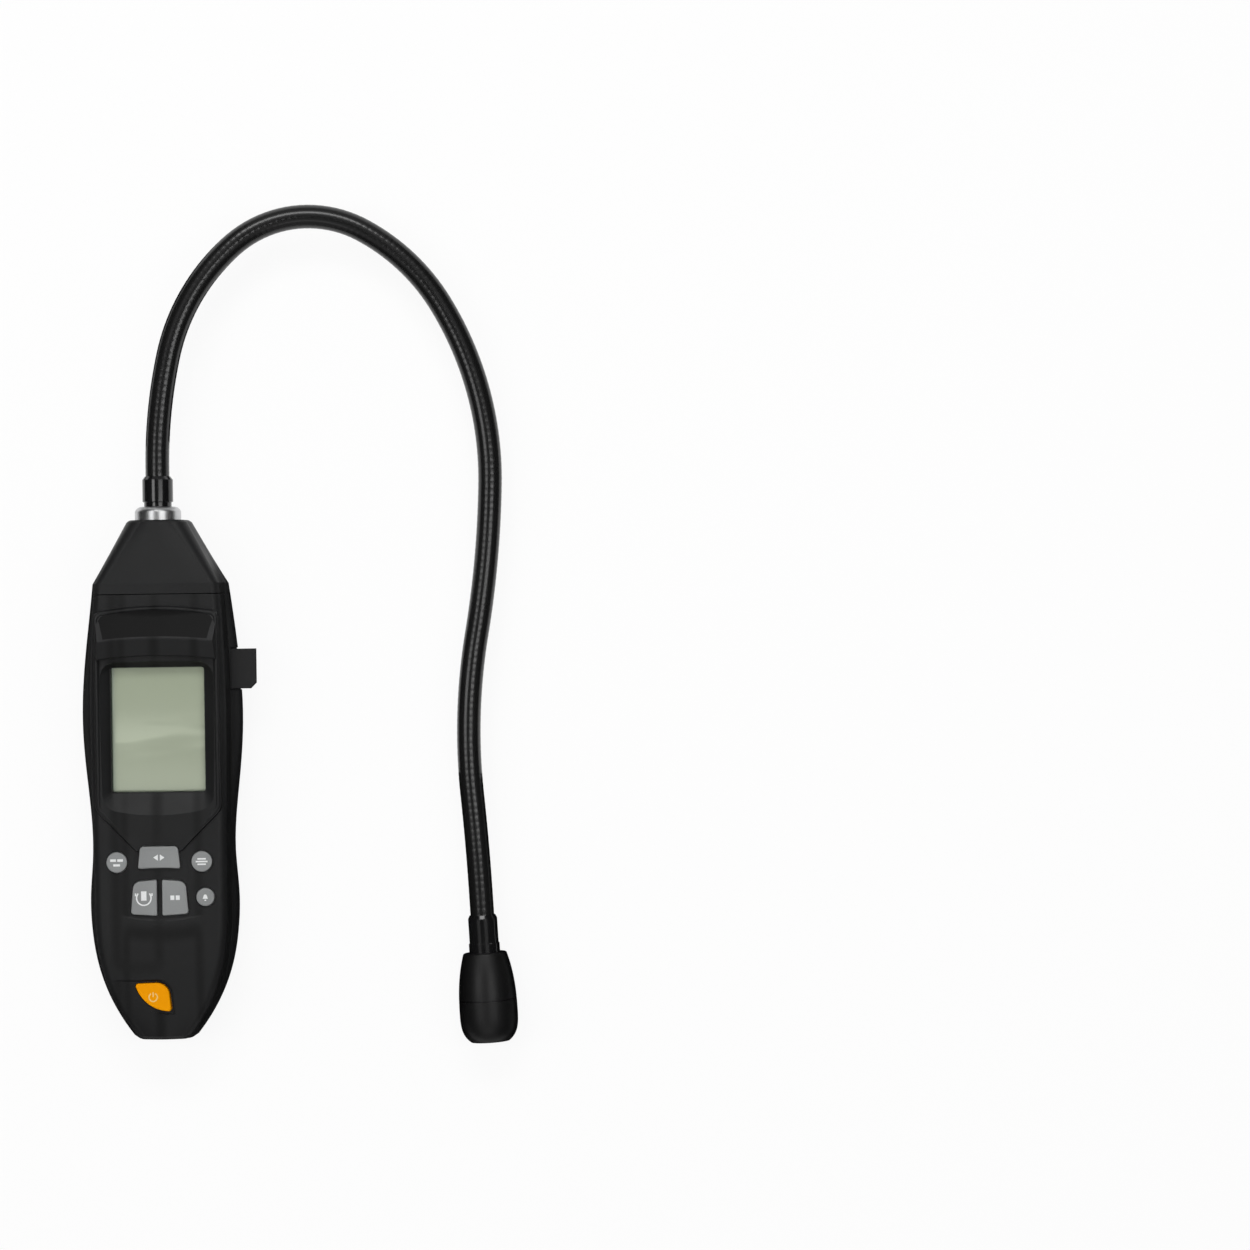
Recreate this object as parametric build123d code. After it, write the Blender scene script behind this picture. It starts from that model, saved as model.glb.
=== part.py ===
from build123d import *
import os
from math import asin, cos, pi, sin

# Hand-held gas leak detector, lying on its back with the display up.
# It has a two-part casing with a separate nose cover, seven press keys, a display under
# a brow, a bend-and-stay gooseneck that leaves the nose through a metal collar, and a
# barrel-shaped sensor probe at the gooseneck's far end.
# Frame: the origin is on the casing's flat back, halfway along the casing. +Z goes up out
# of the display, +Y towards the nose, and +X to the right of someone reading the display.

# Casing, seen from above. Places along it are measured from its ends, its seam or the display.
BODY_LENGTH = 184.2
TAIL_Y = -BODY_LENGTH / 2
NOSE_Y = BODY_LENGTH / 2
TAIL_HALF = 9.6
GRIP_HALF = 24.4
HEAD_HALF = 25.0
SHOULDER_HALF = 23.1
NOSE_HALF = 10.95
GRIP_Y = TAIL_Y + 50.6
HEAD_Y = NOSE_Y - 70.6
SHOULDER_Y = NOSE_Y - 22.5
SEAM_Y = NOSE_Y - 26.3
TAIL_POWER = 2.8
HEAD_BULGE = 2.7
GRIP_BULGE = 1.2
SIDE_STEP = 0.9
NOSE_STEP = 0.25

# Casing, seen from the side
PARTING_Z = 17.5
TAIL_TOP = 23.0
GRIP_TOP = 28.0
HEAD_TOP = 28.8
NOSE_TOP = 26.6
NOSE_BACK = 8.2
TAIL_BACK = 2.4
BACK_FLAT_DIP = 0.5
CROWN = 1.1
SIDE_DRAFT = 0.7
TAIL_EDGE = 1.2
NOSE_EDGE = 0.7
EDGE_RADIUS = 3.6
NOSE_RADIUS = 5.6
SWELL_SHARE = 0.36
UNDER_SHARE = 0.38
WALL = 2.2
SEAM_GAP = 0.3
LIP_WALL = 1.0
LIP_HEIGHT = 1.0
LIP_ROOT = 2.0
LIP_GAP = 0.15

# Display surround, which stands above the front face
VIEW_CENTRE_Y = SEAM_Y - 47.9
BEZEL_RISE = 1.1
BEZEL_HALF = 22.7
BEZEL_TOP_Y = SEAM_Y - 3.5
BEZEL_SIDE_END_Y = VIEW_CENTRE_Y - 28.6
BEZEL_POINT_HALF = 8.3
BEZEL_POINT_Y = VIEW_CENTRE_Y - 43.7
ARCH_RISE = 2.2
BEZEL_CORNER = 4.0
BEZEL_SLOPE = 1.6

# Brow over the display
BROW_HALF = 20.4
BROW_RISE = 1.2
BROW_FOOT_Y = SEAM_Y - 5.4
BROW_RIDGE_Y = SEAM_Y - 15.6
BROW_RIDGE_RISE = 3.4
BROW_LIP_Y = SEAM_Y - 21.8
BROW_LIP_DROP = 1.8
BROW_END_SLOPE = 2.0

# Display and its window
VIEW_WIDTH = 33.1
VIEW_LENGTH = 44.2
VIEW_CORNER = 1.2
DISH_SIDE = 4.9
DISH_TAIL = 9.2
DISH_BROW = 2.2
DISH_CORNER = 7.0
DISH_FLOOR_Z = 26.5
FRAME_LIP = 1.2
WINDOW_MARGIN = 1.6
WINDOW_THICK = 1.2
PANEL_MARGIN = 1.3
PANEL_THICK = 2.4
BACKLIGHT_THICK = 1.3
HOLDER_WALL = 1.6
STACK_GAP = 0.1

# Keys: positions are the centres, in the plane of the front face
KEY_PROUD = 1.0
KEY_GAP = 0.28
KEY_FLANGE = 0.9
KEY_FLANGE_THICK = 0.9
KEY_TRAVEL = 0.6
KEY_STEM_RADIUS = 1.4
KEY_ROUND = 0.45
WIDE_KEY_Y = VIEW_CENTRE_Y - 45.1
WIDE_KEY_LENGTH = 8.0
WIDE_KEY_HALF_TOP = 6.7
WIDE_KEY_HALF_LOW = 7.5
PETAL_Y = WIDE_KEY_Y - 14.2
PETAL_LENGTH = 12.7
PETAL_INNER = 0.92
PETAL_OUTER_TOP = 9.2
PETAL_OUTER_LOW = 10.2
PETAL_CORNER = 2.8
ROUND_KEY_X = 15.0
ROUND_KEY_Y = WIDE_KEY_Y - 1.6
ROUND_KEY_RADIUS = 3.65
SMALL_KEY_X = 16.1
SMALL_KEY_Y = PETAL_Y
SMALL_KEY_RADIUS = 3.2
POWER_X = -2.2
POWER_Y = TAIL_Y + 15.3
DISH_SPHERE_RADIUS = 240.0
DISH_SPHERE_DEPTH = 0.5
DISH_SPHERE_Y = WIDE_KEY_Y - 9.8
THUMB_DEPTH = 0.9

# Circuit board and what is on it
BOARD_Z = 18.0
BOARD_THICK = 1.6
BOARD_HALF = 20.4
BOARD_TAIL_Y = TAIL_Y + 9.3
BOARD_TAIL_HALF = 7.0
BOARD_NECK_Y = TAIL_Y + 24.1
BOARD_NOSE_Y = SEAM_Y - 12.8
SWITCH_SIZE = 6.0
SWITCH_BODY = 2.2
SWITCH_PLUNGER_RADIUS = 1.5
SWITCH_PLUNGER = 0.4
SWITCH_GAP = 0.15
CHIP_SIZE = 10.0
CHIP_THICK = 1.2
CHIP_Y = VIEW_CENTRE_Y - 11.9
SOUNDER_RADIUS = 6.0
SOUNDER_THICK = 6.4
SOUNDER_X = -10.0
SOUNDER_Y = VIEW_CENTRE_Y + 16.1
HEADER_WIDTH = 9.0
HEADER_LENGTH = 6.0
HEADER_THICK = 5.0
PLUG_LENGTH = 9.0

# Battery bay and its three AAA cells
CELL_RADIUS = 5.25
CELL_LENGTH = 43.3
CELL_BUTTON_RADIUS = 1.9
CELL_BUTTON = 1.2
CELL_PITCH = 11.2
CELL_COUNT = 3
BAY_CENTRE_Y = TAIL_Y + 53.1
BAY_WALL = 1.5
BAY_CLEAR = 1.6
BAY_END_CLEAR = 2.6
COVER_THICK = 2.0
COVER_LEDGE = 1.4
COVER_GAP = 0.25
COVER_CORNER = 3.0
CONTACT_THICK = 0.5
CONTACT_DOME = 1.2

# Fasteners
SCREW_RADIUS = 1.2
SCREW_HEAD_RADIUS = 2.2
SCREW_HEAD = 1.7
SCREW_DRIVE = 0.9
BOSS_RADIUS = 3.1
BOSS_SINK_Z = 5.0
PILOT_GAP = 0.25
FRONT_PILOT = 5.4
NOSE_PILOT = 5.0
TAIL_SCREW_Y = TAIL_Y + 5.7
HEAD_SCREW_X = 17.2
HEAD_SCREW_Y = SEAM_Y - 6.2
NOSE_SCREW_X = 11.4
NOSE_SCREW_Y = NOSE_Y - 16.6
BOARD_SCREW_RADIUS = 0.9
BOARD_SCREW_HEAD_RADIUS = 1.7
BOARD_SCREW_HEAD = 1.0
POST_RADIUS = 2.0
BOARD_SCREW_X = 16.6
BOARD_SCREW_HEAD_Y = BOARD_NOSE_Y - 6.0
BOARD_SCREW_TAIL_Y = BAY_CENTRE_Y - 21.0

# Charging port in the right side, and its rubber cover
PORT_Y = VIEW_CENTRE_Y + 21.1
PORT_Z = 11.6
PORT_HOLE_RADIUS = 3.3
POCKET_FLOOR_X = 24.1
POCKET_LENGTH = 15.0
POCKET_LOW_Z = 6.6
PORT_BLOCK_DEPTH = 3.2
HINGE_X = 25.4
HINGE_Z = 16.1
HINGE_RADIUS = 0.9
HINGE_GAP = 0.08
FLAP_LENGTH = 14.2
FLAP_REACH = 8.7
FLAP_CORNER = 2.0
FLAP_STUB_RADIUS = 1.5
FLAP_STUB = 1.5
JACK_LENGTH = 11.0
JACK_WIDTH = 9.0
JACK_BORE_RADIUS = 1.85
JACK_BORE_DEPTH = 9.0
JACK_PIN_RADIUS = 0.65

# Collar and the gooseneck's two crimped ferrules
COLLAR_RADIUS = 8.2
COLLAR_RIM = 3.1
COLLAR_DOME = 1.7
COLLAR_DOME_TOP_RADIUS = 5.3
COLLAR_SHANK_RADIUS = 6.0
COLLAR_SHANK = 9.0
COLLAR_BORE_GAP = 0.08
NUT_ACROSS_FLATS = 13.2
NUT_THICK = 3.0
NUT_CLEAR = 0.05
FERRULE_RADIUS = 5.45
FERRULE_STEP_RADIUS = 4.9
FERRULE_STEP = 1.5
FERRULE_LENGTH = 10.8
FERRULE_CHAMFER = 1.2
SPIGOT_RADIUS = 4.4
HEAD_FERRULE_RADIUS = 5.2
HEAD_FERRULE_FLARE = 0.3
HEAD_FERRULE_LENGTH = 13.4
HEAD_FERRULE_RING = 3.2

# Gooseneck: a sleeve over a wound spring that holds the bend, with a lead inside
NECK_RADIUS = 4.25
SLEEVE_WALL = 0.5
SPRING_WALL = 1.5
LEAD_RADIUS = 1.5
NECK_FIT = 0.06
NECK_GRIP = 8.0
NECK_LEAD_IN = 3.0
# Each bend is a radius and the angle turned through, clockwise from above if negative
NECK_BENDS = (
    (184.0, -12.5),
    (73.0, -36.4),
    (40.7, -69.8),
    (72.5, -30.5),
    (119.5, -32.4),
    (363.0, -8.5),
    (214.0, 15.5),
    (835.0, -2.4),
)
NECK_LEAD_OUT = 8.0
NECK_ROLL = 3.45

# Probe, along its own axis from the gooseneck outwards
PROBE_NECK_RADIUS = 7.7
PROBE_BELLY_RADIUS = 10.4
PROBE_END_RADIUS = 6.9
PROBE_LENGTH = 31.8
PROBE_CAP_LENGTH = 15.0
PROBE_SEAM = PROBE_LENGTH - PROBE_CAP_LENGTH
PROBE_BELLY = PROBE_SEAM + 4.2
PROBE_WALL = 1.6
PROBE_ROUND = 0.8
PROBE_LAP = 2.2
PROBE_LAP_WALL = 1.1
PROBE_CHAMFER_FROM = PROBE_LENGTH - 4.2
SEAL_RADIUS = 0.35
INLET_RADIUS = 5.0
FILTER_THICK = 1.0
FILTER_LEDGE = 1.0
FILTER_HOLE_RADIUS = 0.45
FILTER_PITCH = 1.5
SENSOR_RADIUS = 4.6
SENSOR_LENGTH = 6.4
SENSOR_FLANGE_RADIUS = 5.2
SENSOR_FLANGE = 1.0
SENSOR_GAP = 0.6
SOCKET_RADIUS = 6.4
SOCKET_THICK = 4.0
SOCKET_ARM = 1.4
SOCKET_PIN_RADIUS = 0.5
SOCKET_PIN_RING = 3.4
SOCKET_PINS = 6

# Places that follow from the sizes above
BOARD_TOP_Z = BOARD_Z + BOARD_THICK
FERRULE_Y = NOSE_Y + COLLAR_RIM + COLLAR_DOME
NECK_Y = FERRULE_Y + FERRULE_LENGTH


def bump(y, peak_y, tail_reach, nose_reach):
    """Smooth hump along the casing: 1 at its peak, and 0 beyond its reach."""
    reach = nose_reach if y > peak_y else tail_reach
    share = min(1.0, abs(y - peak_y) / reach)
    return cos(share * pi / 2) ** 2


def ease(share):
    """Smooth step from 0 to 1."""
    share = max(0.0, min(1.0, share))
    return share * share * (3 - 2 * share)


def tail_share(y):
    """0 at the grip's widest place and 1 at the tail's end."""
    return max(0.0, (GRIP_Y - y) / (GRIP_Y - TAIL_Y))


def nose_share(y):
    """0 at the shoulder where the nose begins to narrow and 1 at the nose's end."""
    return max(0.0, (y - SHOULDER_Y) / (NOSE_Y - SHOULDER_Y))


def half_width(y):
    """Half the casing's width at its parting plane."""
    if y < GRIP_Y:
        return GRIP_HALF - (GRIP_HALF - TAIL_HALF) * tail_share(y) ** TAIL_POWER
    if y < HEAD_Y:
        return GRIP_HALF + (HEAD_HALF - GRIP_HALF) * ease((y - GRIP_Y) / (HEAD_Y - GRIP_Y))
    if y < SHOULDER_Y:
        return HEAD_HALF + (SHOULDER_HALF - HEAD_HALF) * ((y - HEAD_Y) / (SHOULDER_Y - HEAD_Y)) ** 2
    return SHOULDER_HALF + (NOSE_HALF - SHOULDER_HALF) * nose_share(y)


def top_z(y):
    """Height of the front face along the casing's middle line."""
    if y < GRIP_Y:
        return GRIP_TOP - (GRIP_TOP - TAIL_TOP) * tail_share(y) ** TAIL_POWER
    if y < SHOULDER_Y:
        return GRIP_TOP + (HEAD_TOP - GRIP_TOP) * ease((y - GRIP_Y) / (HEAD_Y - GRIP_Y))
    return HEAD_TOP + (NOSE_TOP - HEAD_TOP) * nose_share(y)


def back_z(y):
    """Height of the back. Between the tail and the nose it dips, to be trimmed flat at 0."""
    tail = tail_share(y) ** (2 * TAIL_POWER)
    nose = ease((y - HEAD_SCREW_Y + 2 * BOSS_RADIUS) / (NOSE_Y - HEAD_SCREW_Y))
    return -BACK_FLAT_DIP + (TAIL_BACK + BACK_FLAT_DIP) * tail + (NOSE_BACK + BACK_FLAT_DIP) * nose


def bulge(y):
    """How far the rear shell's side stands out past the front shell's."""
    head = bump(y, HEAD_Y, 44, 60)
    grip = bump(y, GRIP_Y, 50, 17)
    step = SIDE_STEP + (NOSE_STEP - SIDE_STEP) * nose_share(y)
    return step + HEAD_BULGE * head + GRIP_BULGE * grip


def edge_radius(y):
    """Radius along the front face's long edges, which opens out over the nose."""
    return EDGE_RADIUS + (NOSE_RADIUS - EDGE_RADIUS) * nose_share(y)


def upright(y):
    """Plane across the casing at y, with local X to the right and local Y up."""
    return Plane.XZ.offset(-y)


def front_section(y, inset=0.0, rise=0.0, low_z=PARTING_Z):
    """Cross-section of the front half of the casing, moved in by inset and up by rise."""
    w = half_width(y) - inset
    top = top_z(y) - inset + rise
    r = max(1.2, edge_radius(y) - inset)
    side_x = w - SIDE_DRAFT
    shoulder_z = top - CROWN - r
    bend = r * (1 - cos(pi / 4))
    corner_x = side_x - r
    low_x = w + SIDE_DRAFT * (PARTING_Z - low_z) / (shoulder_z - PARTING_Z)
    edges = [
        Line((-low_x, low_z), (low_x, low_z)),
        Line((low_x, low_z), (side_x, shoulder_z)),
        ThreePointArc((side_x, shoulder_z), (side_x - bend, top - CROWN - bend), (corner_x, top - CROWN)),
        ThreePointArc((corner_x, top - CROWN), (0, top), (-corner_x, top - CROWN)),
        ThreePointArc((-corner_x, top - CROWN), (-side_x + bend, top - CROWN - bend), (-side_x, shoulder_z)),
        Line((-side_x, shoulder_z), (-low_x, low_z)),
    ]
    return upright(y) * make_face(edges)


def rear_section(y, inset=0.0, high_z=PARTING_Z):
    """Cross-section of the rear half: its side swells to a widest line, then rounds under."""
    w = half_width(y) - inset
    out = bulge(y)
    back = back_z(y) + inset
    depth = PARTING_Z - back
    wide_z = PARTING_Z - SWELL_SHARE * depth
    under_x = w + out - UNDER_SHARE * depth
    upper = swell((w, PARTING_Z), (w + out, wide_z))
    lower = swell((under_x, back), (w + out, wide_z))
    edges = [upper, lower, Line((under_x, back), (-under_x, back)), mirror(lower, Plane.YZ), mirror(upper, Plane.YZ)]
    if high_z > PARTING_Z:
        edges.append(Polyline((-w, PARTING_Z), (-w, high_z), (w, high_z), (w, PARTING_Z)))
    else:
        edges.append(Line((-w, PARTING_Z), (w, PARTING_Z)))
    return upright(y) * make_face(edges)


def swell(start, widest):
    """Arc from start to the widest point, where it runs upright."""
    out = widest[0] - start[0]
    rise = start[1] - widest[1]
    radius = (out**2 + rise**2) / (2 * out)
    middle = asin(rise / radius) / 2
    centre_x = widest[0] - radius
    return ThreePointArc(start, (centre_x + radius * cos(middle), widest[1] + radius * sin(middle)), widest)


def stations(start, end, count):
    """Evenly spaced places from start to end."""
    return [start + (end - start) * i / (count - 1) for i in range(count)]


def tail_stations(start, end):
    """Places from the tail to the head, closer together where the tail turns in."""
    return stations(start, start + 14, 4)[:-1] + stations(start + 14, GRIP_Y, 4)[:-1] + stations(GRIP_Y, end, 8)


def shaped(section, places, **options):
    """Solid through the sections at these places, smooth up to the shoulder and straight after."""
    smooth = [y for y in places if y <= SHOULDER_Y]
    straight = [y for y in places if y > SHOULDER_Y]
    solid = loft([section(y, **options) for y in smooth])
    if straight:
        solid += loft([section(y, **options) for y in [smooth[-1]] + straight], ruled=True)
    return solid


def rim_outline(inset, end):
    """The casing's outline in plan up to end, moved in by inset."""
    right = Spline([(half_width(y) - inset, y) for y in stations(TAIL_Y + inset, end, 14)])
    left = mirror(right, Plane.YZ)
    return make_face([right, left, Line(left @ 0, right @ 0), Line(right @ 1, left @ 1)])


def slab(low_z, high_z):
    """Everything between two heights."""
    height = high_z - low_z
    return Pos(0, 0, low_z + height / 2) * Box(3 * BODY_LENGTH, 3 * BODY_LENGTH, height)


def standing(sketch, low_z, high_z):
    """A sketch in plan, drawn up from one height to another."""
    return Pos(0, 0, low_z) * extrude(sketch, high_z - low_z)


def post(x, y, low_z, high_z, radius):
    """A round post or hole that stands on the plan point x, y."""
    return Pos(x, y, (low_z + high_z) / 2) * Cylinder(radius, high_z - low_z)


def view_rectangle(margin, corner):
    """The display's view, grown on each side by margin."""
    shape = RectangleRounded(VIEW_WIDTH + 2 * margin, VIEW_LENGTH + 2 * margin, corner)
    return Pos(0, VIEW_CENTRE_Y) * shape


# Key shapes in plan. Each is grown by a margin for its hole or its flange.


def wide_key(margin=0.0):
    """Wide key under the display: a trapezoid with a slightly hollow lower edge."""
    top = WIDE_KEY_Y + WIDE_KEY_LENGTH / 2
    low = WIDE_KEY_Y - WIDE_KEY_LENGTH / 2
    edges = [
        Line((-WIDE_KEY_HALF_TOP, top), (WIDE_KEY_HALF_TOP, top)),
        Line((WIDE_KEY_HALF_TOP, top), (WIDE_KEY_HALF_LOW, low)),
        ThreePointArc((WIDE_KEY_HALF_LOW, low), (0, low + 0.35), (-WIDE_KEY_HALF_LOW, low)),
        Line((-WIDE_KEY_HALF_LOW, low), (-WIDE_KEY_HALF_TOP, top)),
    ]
    face = make_face(edges)
    face = fillet(face.vertices().group_by(Axis.Y)[-1], 1.5)
    face = fillet(face.vertices().group_by(Axis.Y)[0], 0.7)
    return offset(face, margin) if margin else face


def petal_key(side, margin=0.0):
    """One of the two middle keys, with its outer upper corner well rounded."""
    top = PETAL_Y + PETAL_LENGTH / 2
    low = PETAL_Y - PETAL_LENGTH / 2
    edges = [
        Line((PETAL_INNER, low), (PETAL_INNER, top)),
        Line((PETAL_INNER, top), (PETAL_OUTER_TOP, top - 0.7)),
        Line((PETAL_OUTER_TOP, top - 0.7), (PETAL_OUTER_LOW, low + 0.6)),
        Line((PETAL_OUTER_LOW, low + 0.6), (PETAL_INNER, low)),
    ]
    face = make_face(edges)
    outer = face.vertices().sort_by(Axis.X)[-2:].sort_by(Axis.Y)
    inner = face.vertices().sort_by(Axis.X)[:2]
    face = fillet(outer[-1], PETAL_CORNER)
    face = fillet([v for v in face.vertices() if (v - outer[0]).center().length < 0.01], 1.2)
    face = fillet([v for v in face.vertices() if min((v - i).center().length for i in inner) < 0.01], 0.5)
    face = offset(face, margin) if margin else face
    return face if side > 0 else mirror(face, Plane.YZ)


def round_key(x, y, radius, margin=0.0):
    """A round key."""
    return Pos(x, y) * Circle(radius + margin)


def leaf_points(grow):
    """Corners of the leaf-shaped power key, relative to its centre."""
    return {
        "tip": (-7.2 - grow, 5.0 + grow),
        "shoulder": (0.6, 5.2 + grow),
        "flank": (5.0 + grow, 0.4),
        "heel": (5.5 + grow, -4.9 - grow),
        "belly": (-3.2 - 0.7 * grow, -1.7 - 0.7 * grow),
    }


def power_key(margin=0.0):
    """Leaf-shaped power key, with a straight upper edge and a long curved lower one."""
    at = leaf_points(0.0)
    edges = [
        Line(at["tip"], at["shoulder"]),
        ThreePointArc(at["shoulder"], (3.9, 3.6), at["flank"]),
        Line(at["flank"], at["heel"]),
        ThreePointArc(at["heel"], at["belly"], at["tip"]),
    ]
    face = make_face(edges)
    ends = [v for v in face.vertices() if v.X < -7 or v.Y < -4.5]
    face = fillet(ends, 1.0)
    face = Pos(POWER_X, POWER_Y) * face
    return offset(face, margin) if margin else face


KEYS = {
    "key_wide": (wide_key, (0, WIDE_KEY_Y)),
    "key_left_middle": (lambda margin=0.0: petal_key(-1, margin), (-5.6, PETAL_Y)),
    "key_right_middle": (lambda margin=0.0: petal_key(1, margin), (5.6, PETAL_Y)),
    "key_left_round": (
        lambda margin=0.0: round_key(-ROUND_KEY_X, ROUND_KEY_Y, ROUND_KEY_RADIUS, margin),
        (-ROUND_KEY_X, ROUND_KEY_Y),
    ),
    "key_right_round": (
        lambda margin=0.0: round_key(ROUND_KEY_X, ROUND_KEY_Y, ROUND_KEY_RADIUS, margin),
        (ROUND_KEY_X, ROUND_KEY_Y),
    ),
    "key_small_round": (
        lambda margin=0.0: round_key(SMALL_KEY_X, SMALL_KEY_Y, SMALL_KEY_RADIUS, margin),
        (SMALL_KEY_X, SMALL_KEY_Y),
    ),
    "key_power": (power_key, (POWER_X, POWER_Y)),
}
FRONT_SCREWS = [(0, TAIL_SCREW_Y), (-HEAD_SCREW_X, HEAD_SCREW_Y), (HEAD_SCREW_X, HEAD_SCREW_Y)]
NOSE_SCREWS = [(-NOSE_SCREW_X, NOSE_SCREW_Y), (NOSE_SCREW_X, NOSE_SCREW_Y)]
CASE_SCREWS = FRONT_SCREWS + NOSE_SCREWS
BOARD_SCREWS = [(side * BOARD_SCREW_X, y) for y in (BOARD_SCREW_TAIL_Y, BOARD_SCREW_HEAD_Y) for side in (-1, 1)]


def face_z(x, y):
    """Height of the front face above the plan point x, y, from its crown."""
    flat = half_width(y) - SIDE_DRAFT - edge_radius(y)
    return top_z(y) - CROWN * (x / flat) ** 2


def bezel_outline():
    """Outline of the raised display surround: an arch on top and a blunt point below."""
    edge_y = BEZEL_TOP_Y - ARCH_RISE
    edges = [
        ThreePointArc((-BEZEL_HALF, edge_y), (0, BEZEL_TOP_Y), (BEZEL_HALF, edge_y)),
        Line((BEZEL_HALF, edge_y), (BEZEL_HALF, BEZEL_SIDE_END_Y)),
        Line((BEZEL_HALF, BEZEL_SIDE_END_Y), (BEZEL_POINT_HALF, BEZEL_POINT_Y)),
        Line((BEZEL_POINT_HALF, BEZEL_POINT_Y), (-BEZEL_POINT_HALF, BEZEL_POINT_Y)),
        Line((-BEZEL_POINT_HALF, BEZEL_POINT_Y), (-BEZEL_HALF, BEZEL_SIDE_END_Y)),
        Line((-BEZEL_HALF, BEZEL_SIDE_END_Y), (-BEZEL_HALF, edge_y)),
    ]
    face = make_face(edges)
    face = fillet(face.vertices().group_by(Axis.Y)[-1], BEZEL_CORNER)
    return fillet(face.vertices().group_by(Axis.Y)[1], 6.0)


def brow():
    """Arched brow over the display: it rises to a ridge and falls to a lip."""
    base = HEAD_TOP + BEZEL_RISE
    ridge = base + BROW_RIDGE_RISE
    low = DISH_FLOOR_Z + 1
    profile = make_face(Polyline(
        (BROW_FOOT_Y, base - 0.9), (BROW_RIDGE_Y, ridge), (BROW_LIP_Y, ridge - BROW_LIP_DROP),
        (BROW_LIP_Y, low), (BROW_FOOT_Y, low), close=True,
    ))
    top = profile.vertices().group_by(Axis.Y)
    profile = fillet(top[-1], 1.2)
    profile = fillet(profile.vertices().sort_by(Axis.X)[:2].sort_by(Axis.Y)[-1], 0.5)
    radius = (BROW_HALF**2 + BROW_RISE**2) / (2 * BROW_RISE)
    pivot = Axis((0, BROW_LIP_Y - radius, 0), (0, 0, 1))
    sweep_angle = 20
    ring = revolve(Plane.YZ * profile, pivot, sweep_angle)
    ring = ring.rotate(pivot, -sweep_angle / 2)
    wedge = make_face(Polyline(
        (-BROW_HALF - BROW_END_SLOPE, low - 1), (BROW_HALF + BROW_END_SLOPE, low - 1),
        (BROW_HALF - 0.4, ridge + 1), (-BROW_HALF + 0.4, ridge + 1), close=True,
    ))
    return ring & extrude(upright(BROW_LIP_Y - 8) * wedge, -40)


def dish():
    """Sloping recess from the surround's face down to the display's view."""
    rim_z = HEAD_TOP + BEZEL_RISE
    low_y = VIEW_CENTRE_Y - VIEW_LENGTH / 2 - DISH_TAIL
    top_y = VIEW_CENTRE_Y + VIEW_LENGTH / 2 + DISH_BROW
    shape = RectangleRounded(VIEW_WIDTH + 2 * DISH_SIDE, top_y - low_y, DISH_CORNER)
    rim = Plane.XY.offset(rim_z) * Pos(0, (low_y + top_y) / 2) * shape
    floor = Plane.XY.offset(DISH_FLOOR_Z) * view_rectangle(0.3, VIEW_CORNER)
    return loft([floor, rim]) + extrude(rim, 4)


def thumb_recess():
    """Shallow hollow around the power key, deepest along its upper and right edges."""
    at = leaf_points(1.3)
    edges = [
        Line((at["tip"][0] - 4.5, at["tip"][1]), at["shoulder"]),
        ThreePointArc(at["shoulder"], (4.9, 4.7), at["flank"]),
        Line(at["flank"], at["heel"]),
        ThreePointArc(at["heel"], (-4.6, -3.6), (at["tip"][0] - 4.5, at["tip"][1])),
    ]
    outline = Pos(POWER_X, POWER_Y) * make_face(edges)
    high = standing(outline, PARTING_Z + 4, GRIP_TOP + 4)
    edge_z = top_z(POWER_Y) - THUMB_DEPTH
    floor = Pos(POWER_X + 3, POWER_Y + 4, edge_z) * Rot(5.0, 8.5, 0) * Pos(0, 0, -20) * Box(80, 80, 40)
    return high - floor


def front_outer():
    """Outside of the front shell with the raised surround and the brow."""
    end = SEAM_Y - SEAM_GAP / 2
    shell = shaped(front_section, tail_stations(TAIL_Y + TAIL_EDGE, end))
    tail = loft([front_section(TAIL_Y, inset=0.7 * TAIL_EDGE), front_section(TAIL_Y + TAIL_EDGE)])
    raised = shaped(front_section, stations(BEZEL_POINT_Y - 6, end - 1, 7), rise=BEZEL_RISE)
    low = Plane.XY.offset(HEAD_TOP - 2.5) * bezel_outline()
    high = Plane.XY.offset(HEAD_TOP + 2.0) * offset(bezel_outline(), -BEZEL_SLOPE)
    return shell + [tail, raised & loft([low, high]), brow()]


def key_seat_z(centre):
    """Height of the shell's inner face above a key's flange."""
    x, y = centre
    return min(face_z(x, y), top_z(y) - 0.3) - WALL - 0.2


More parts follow.
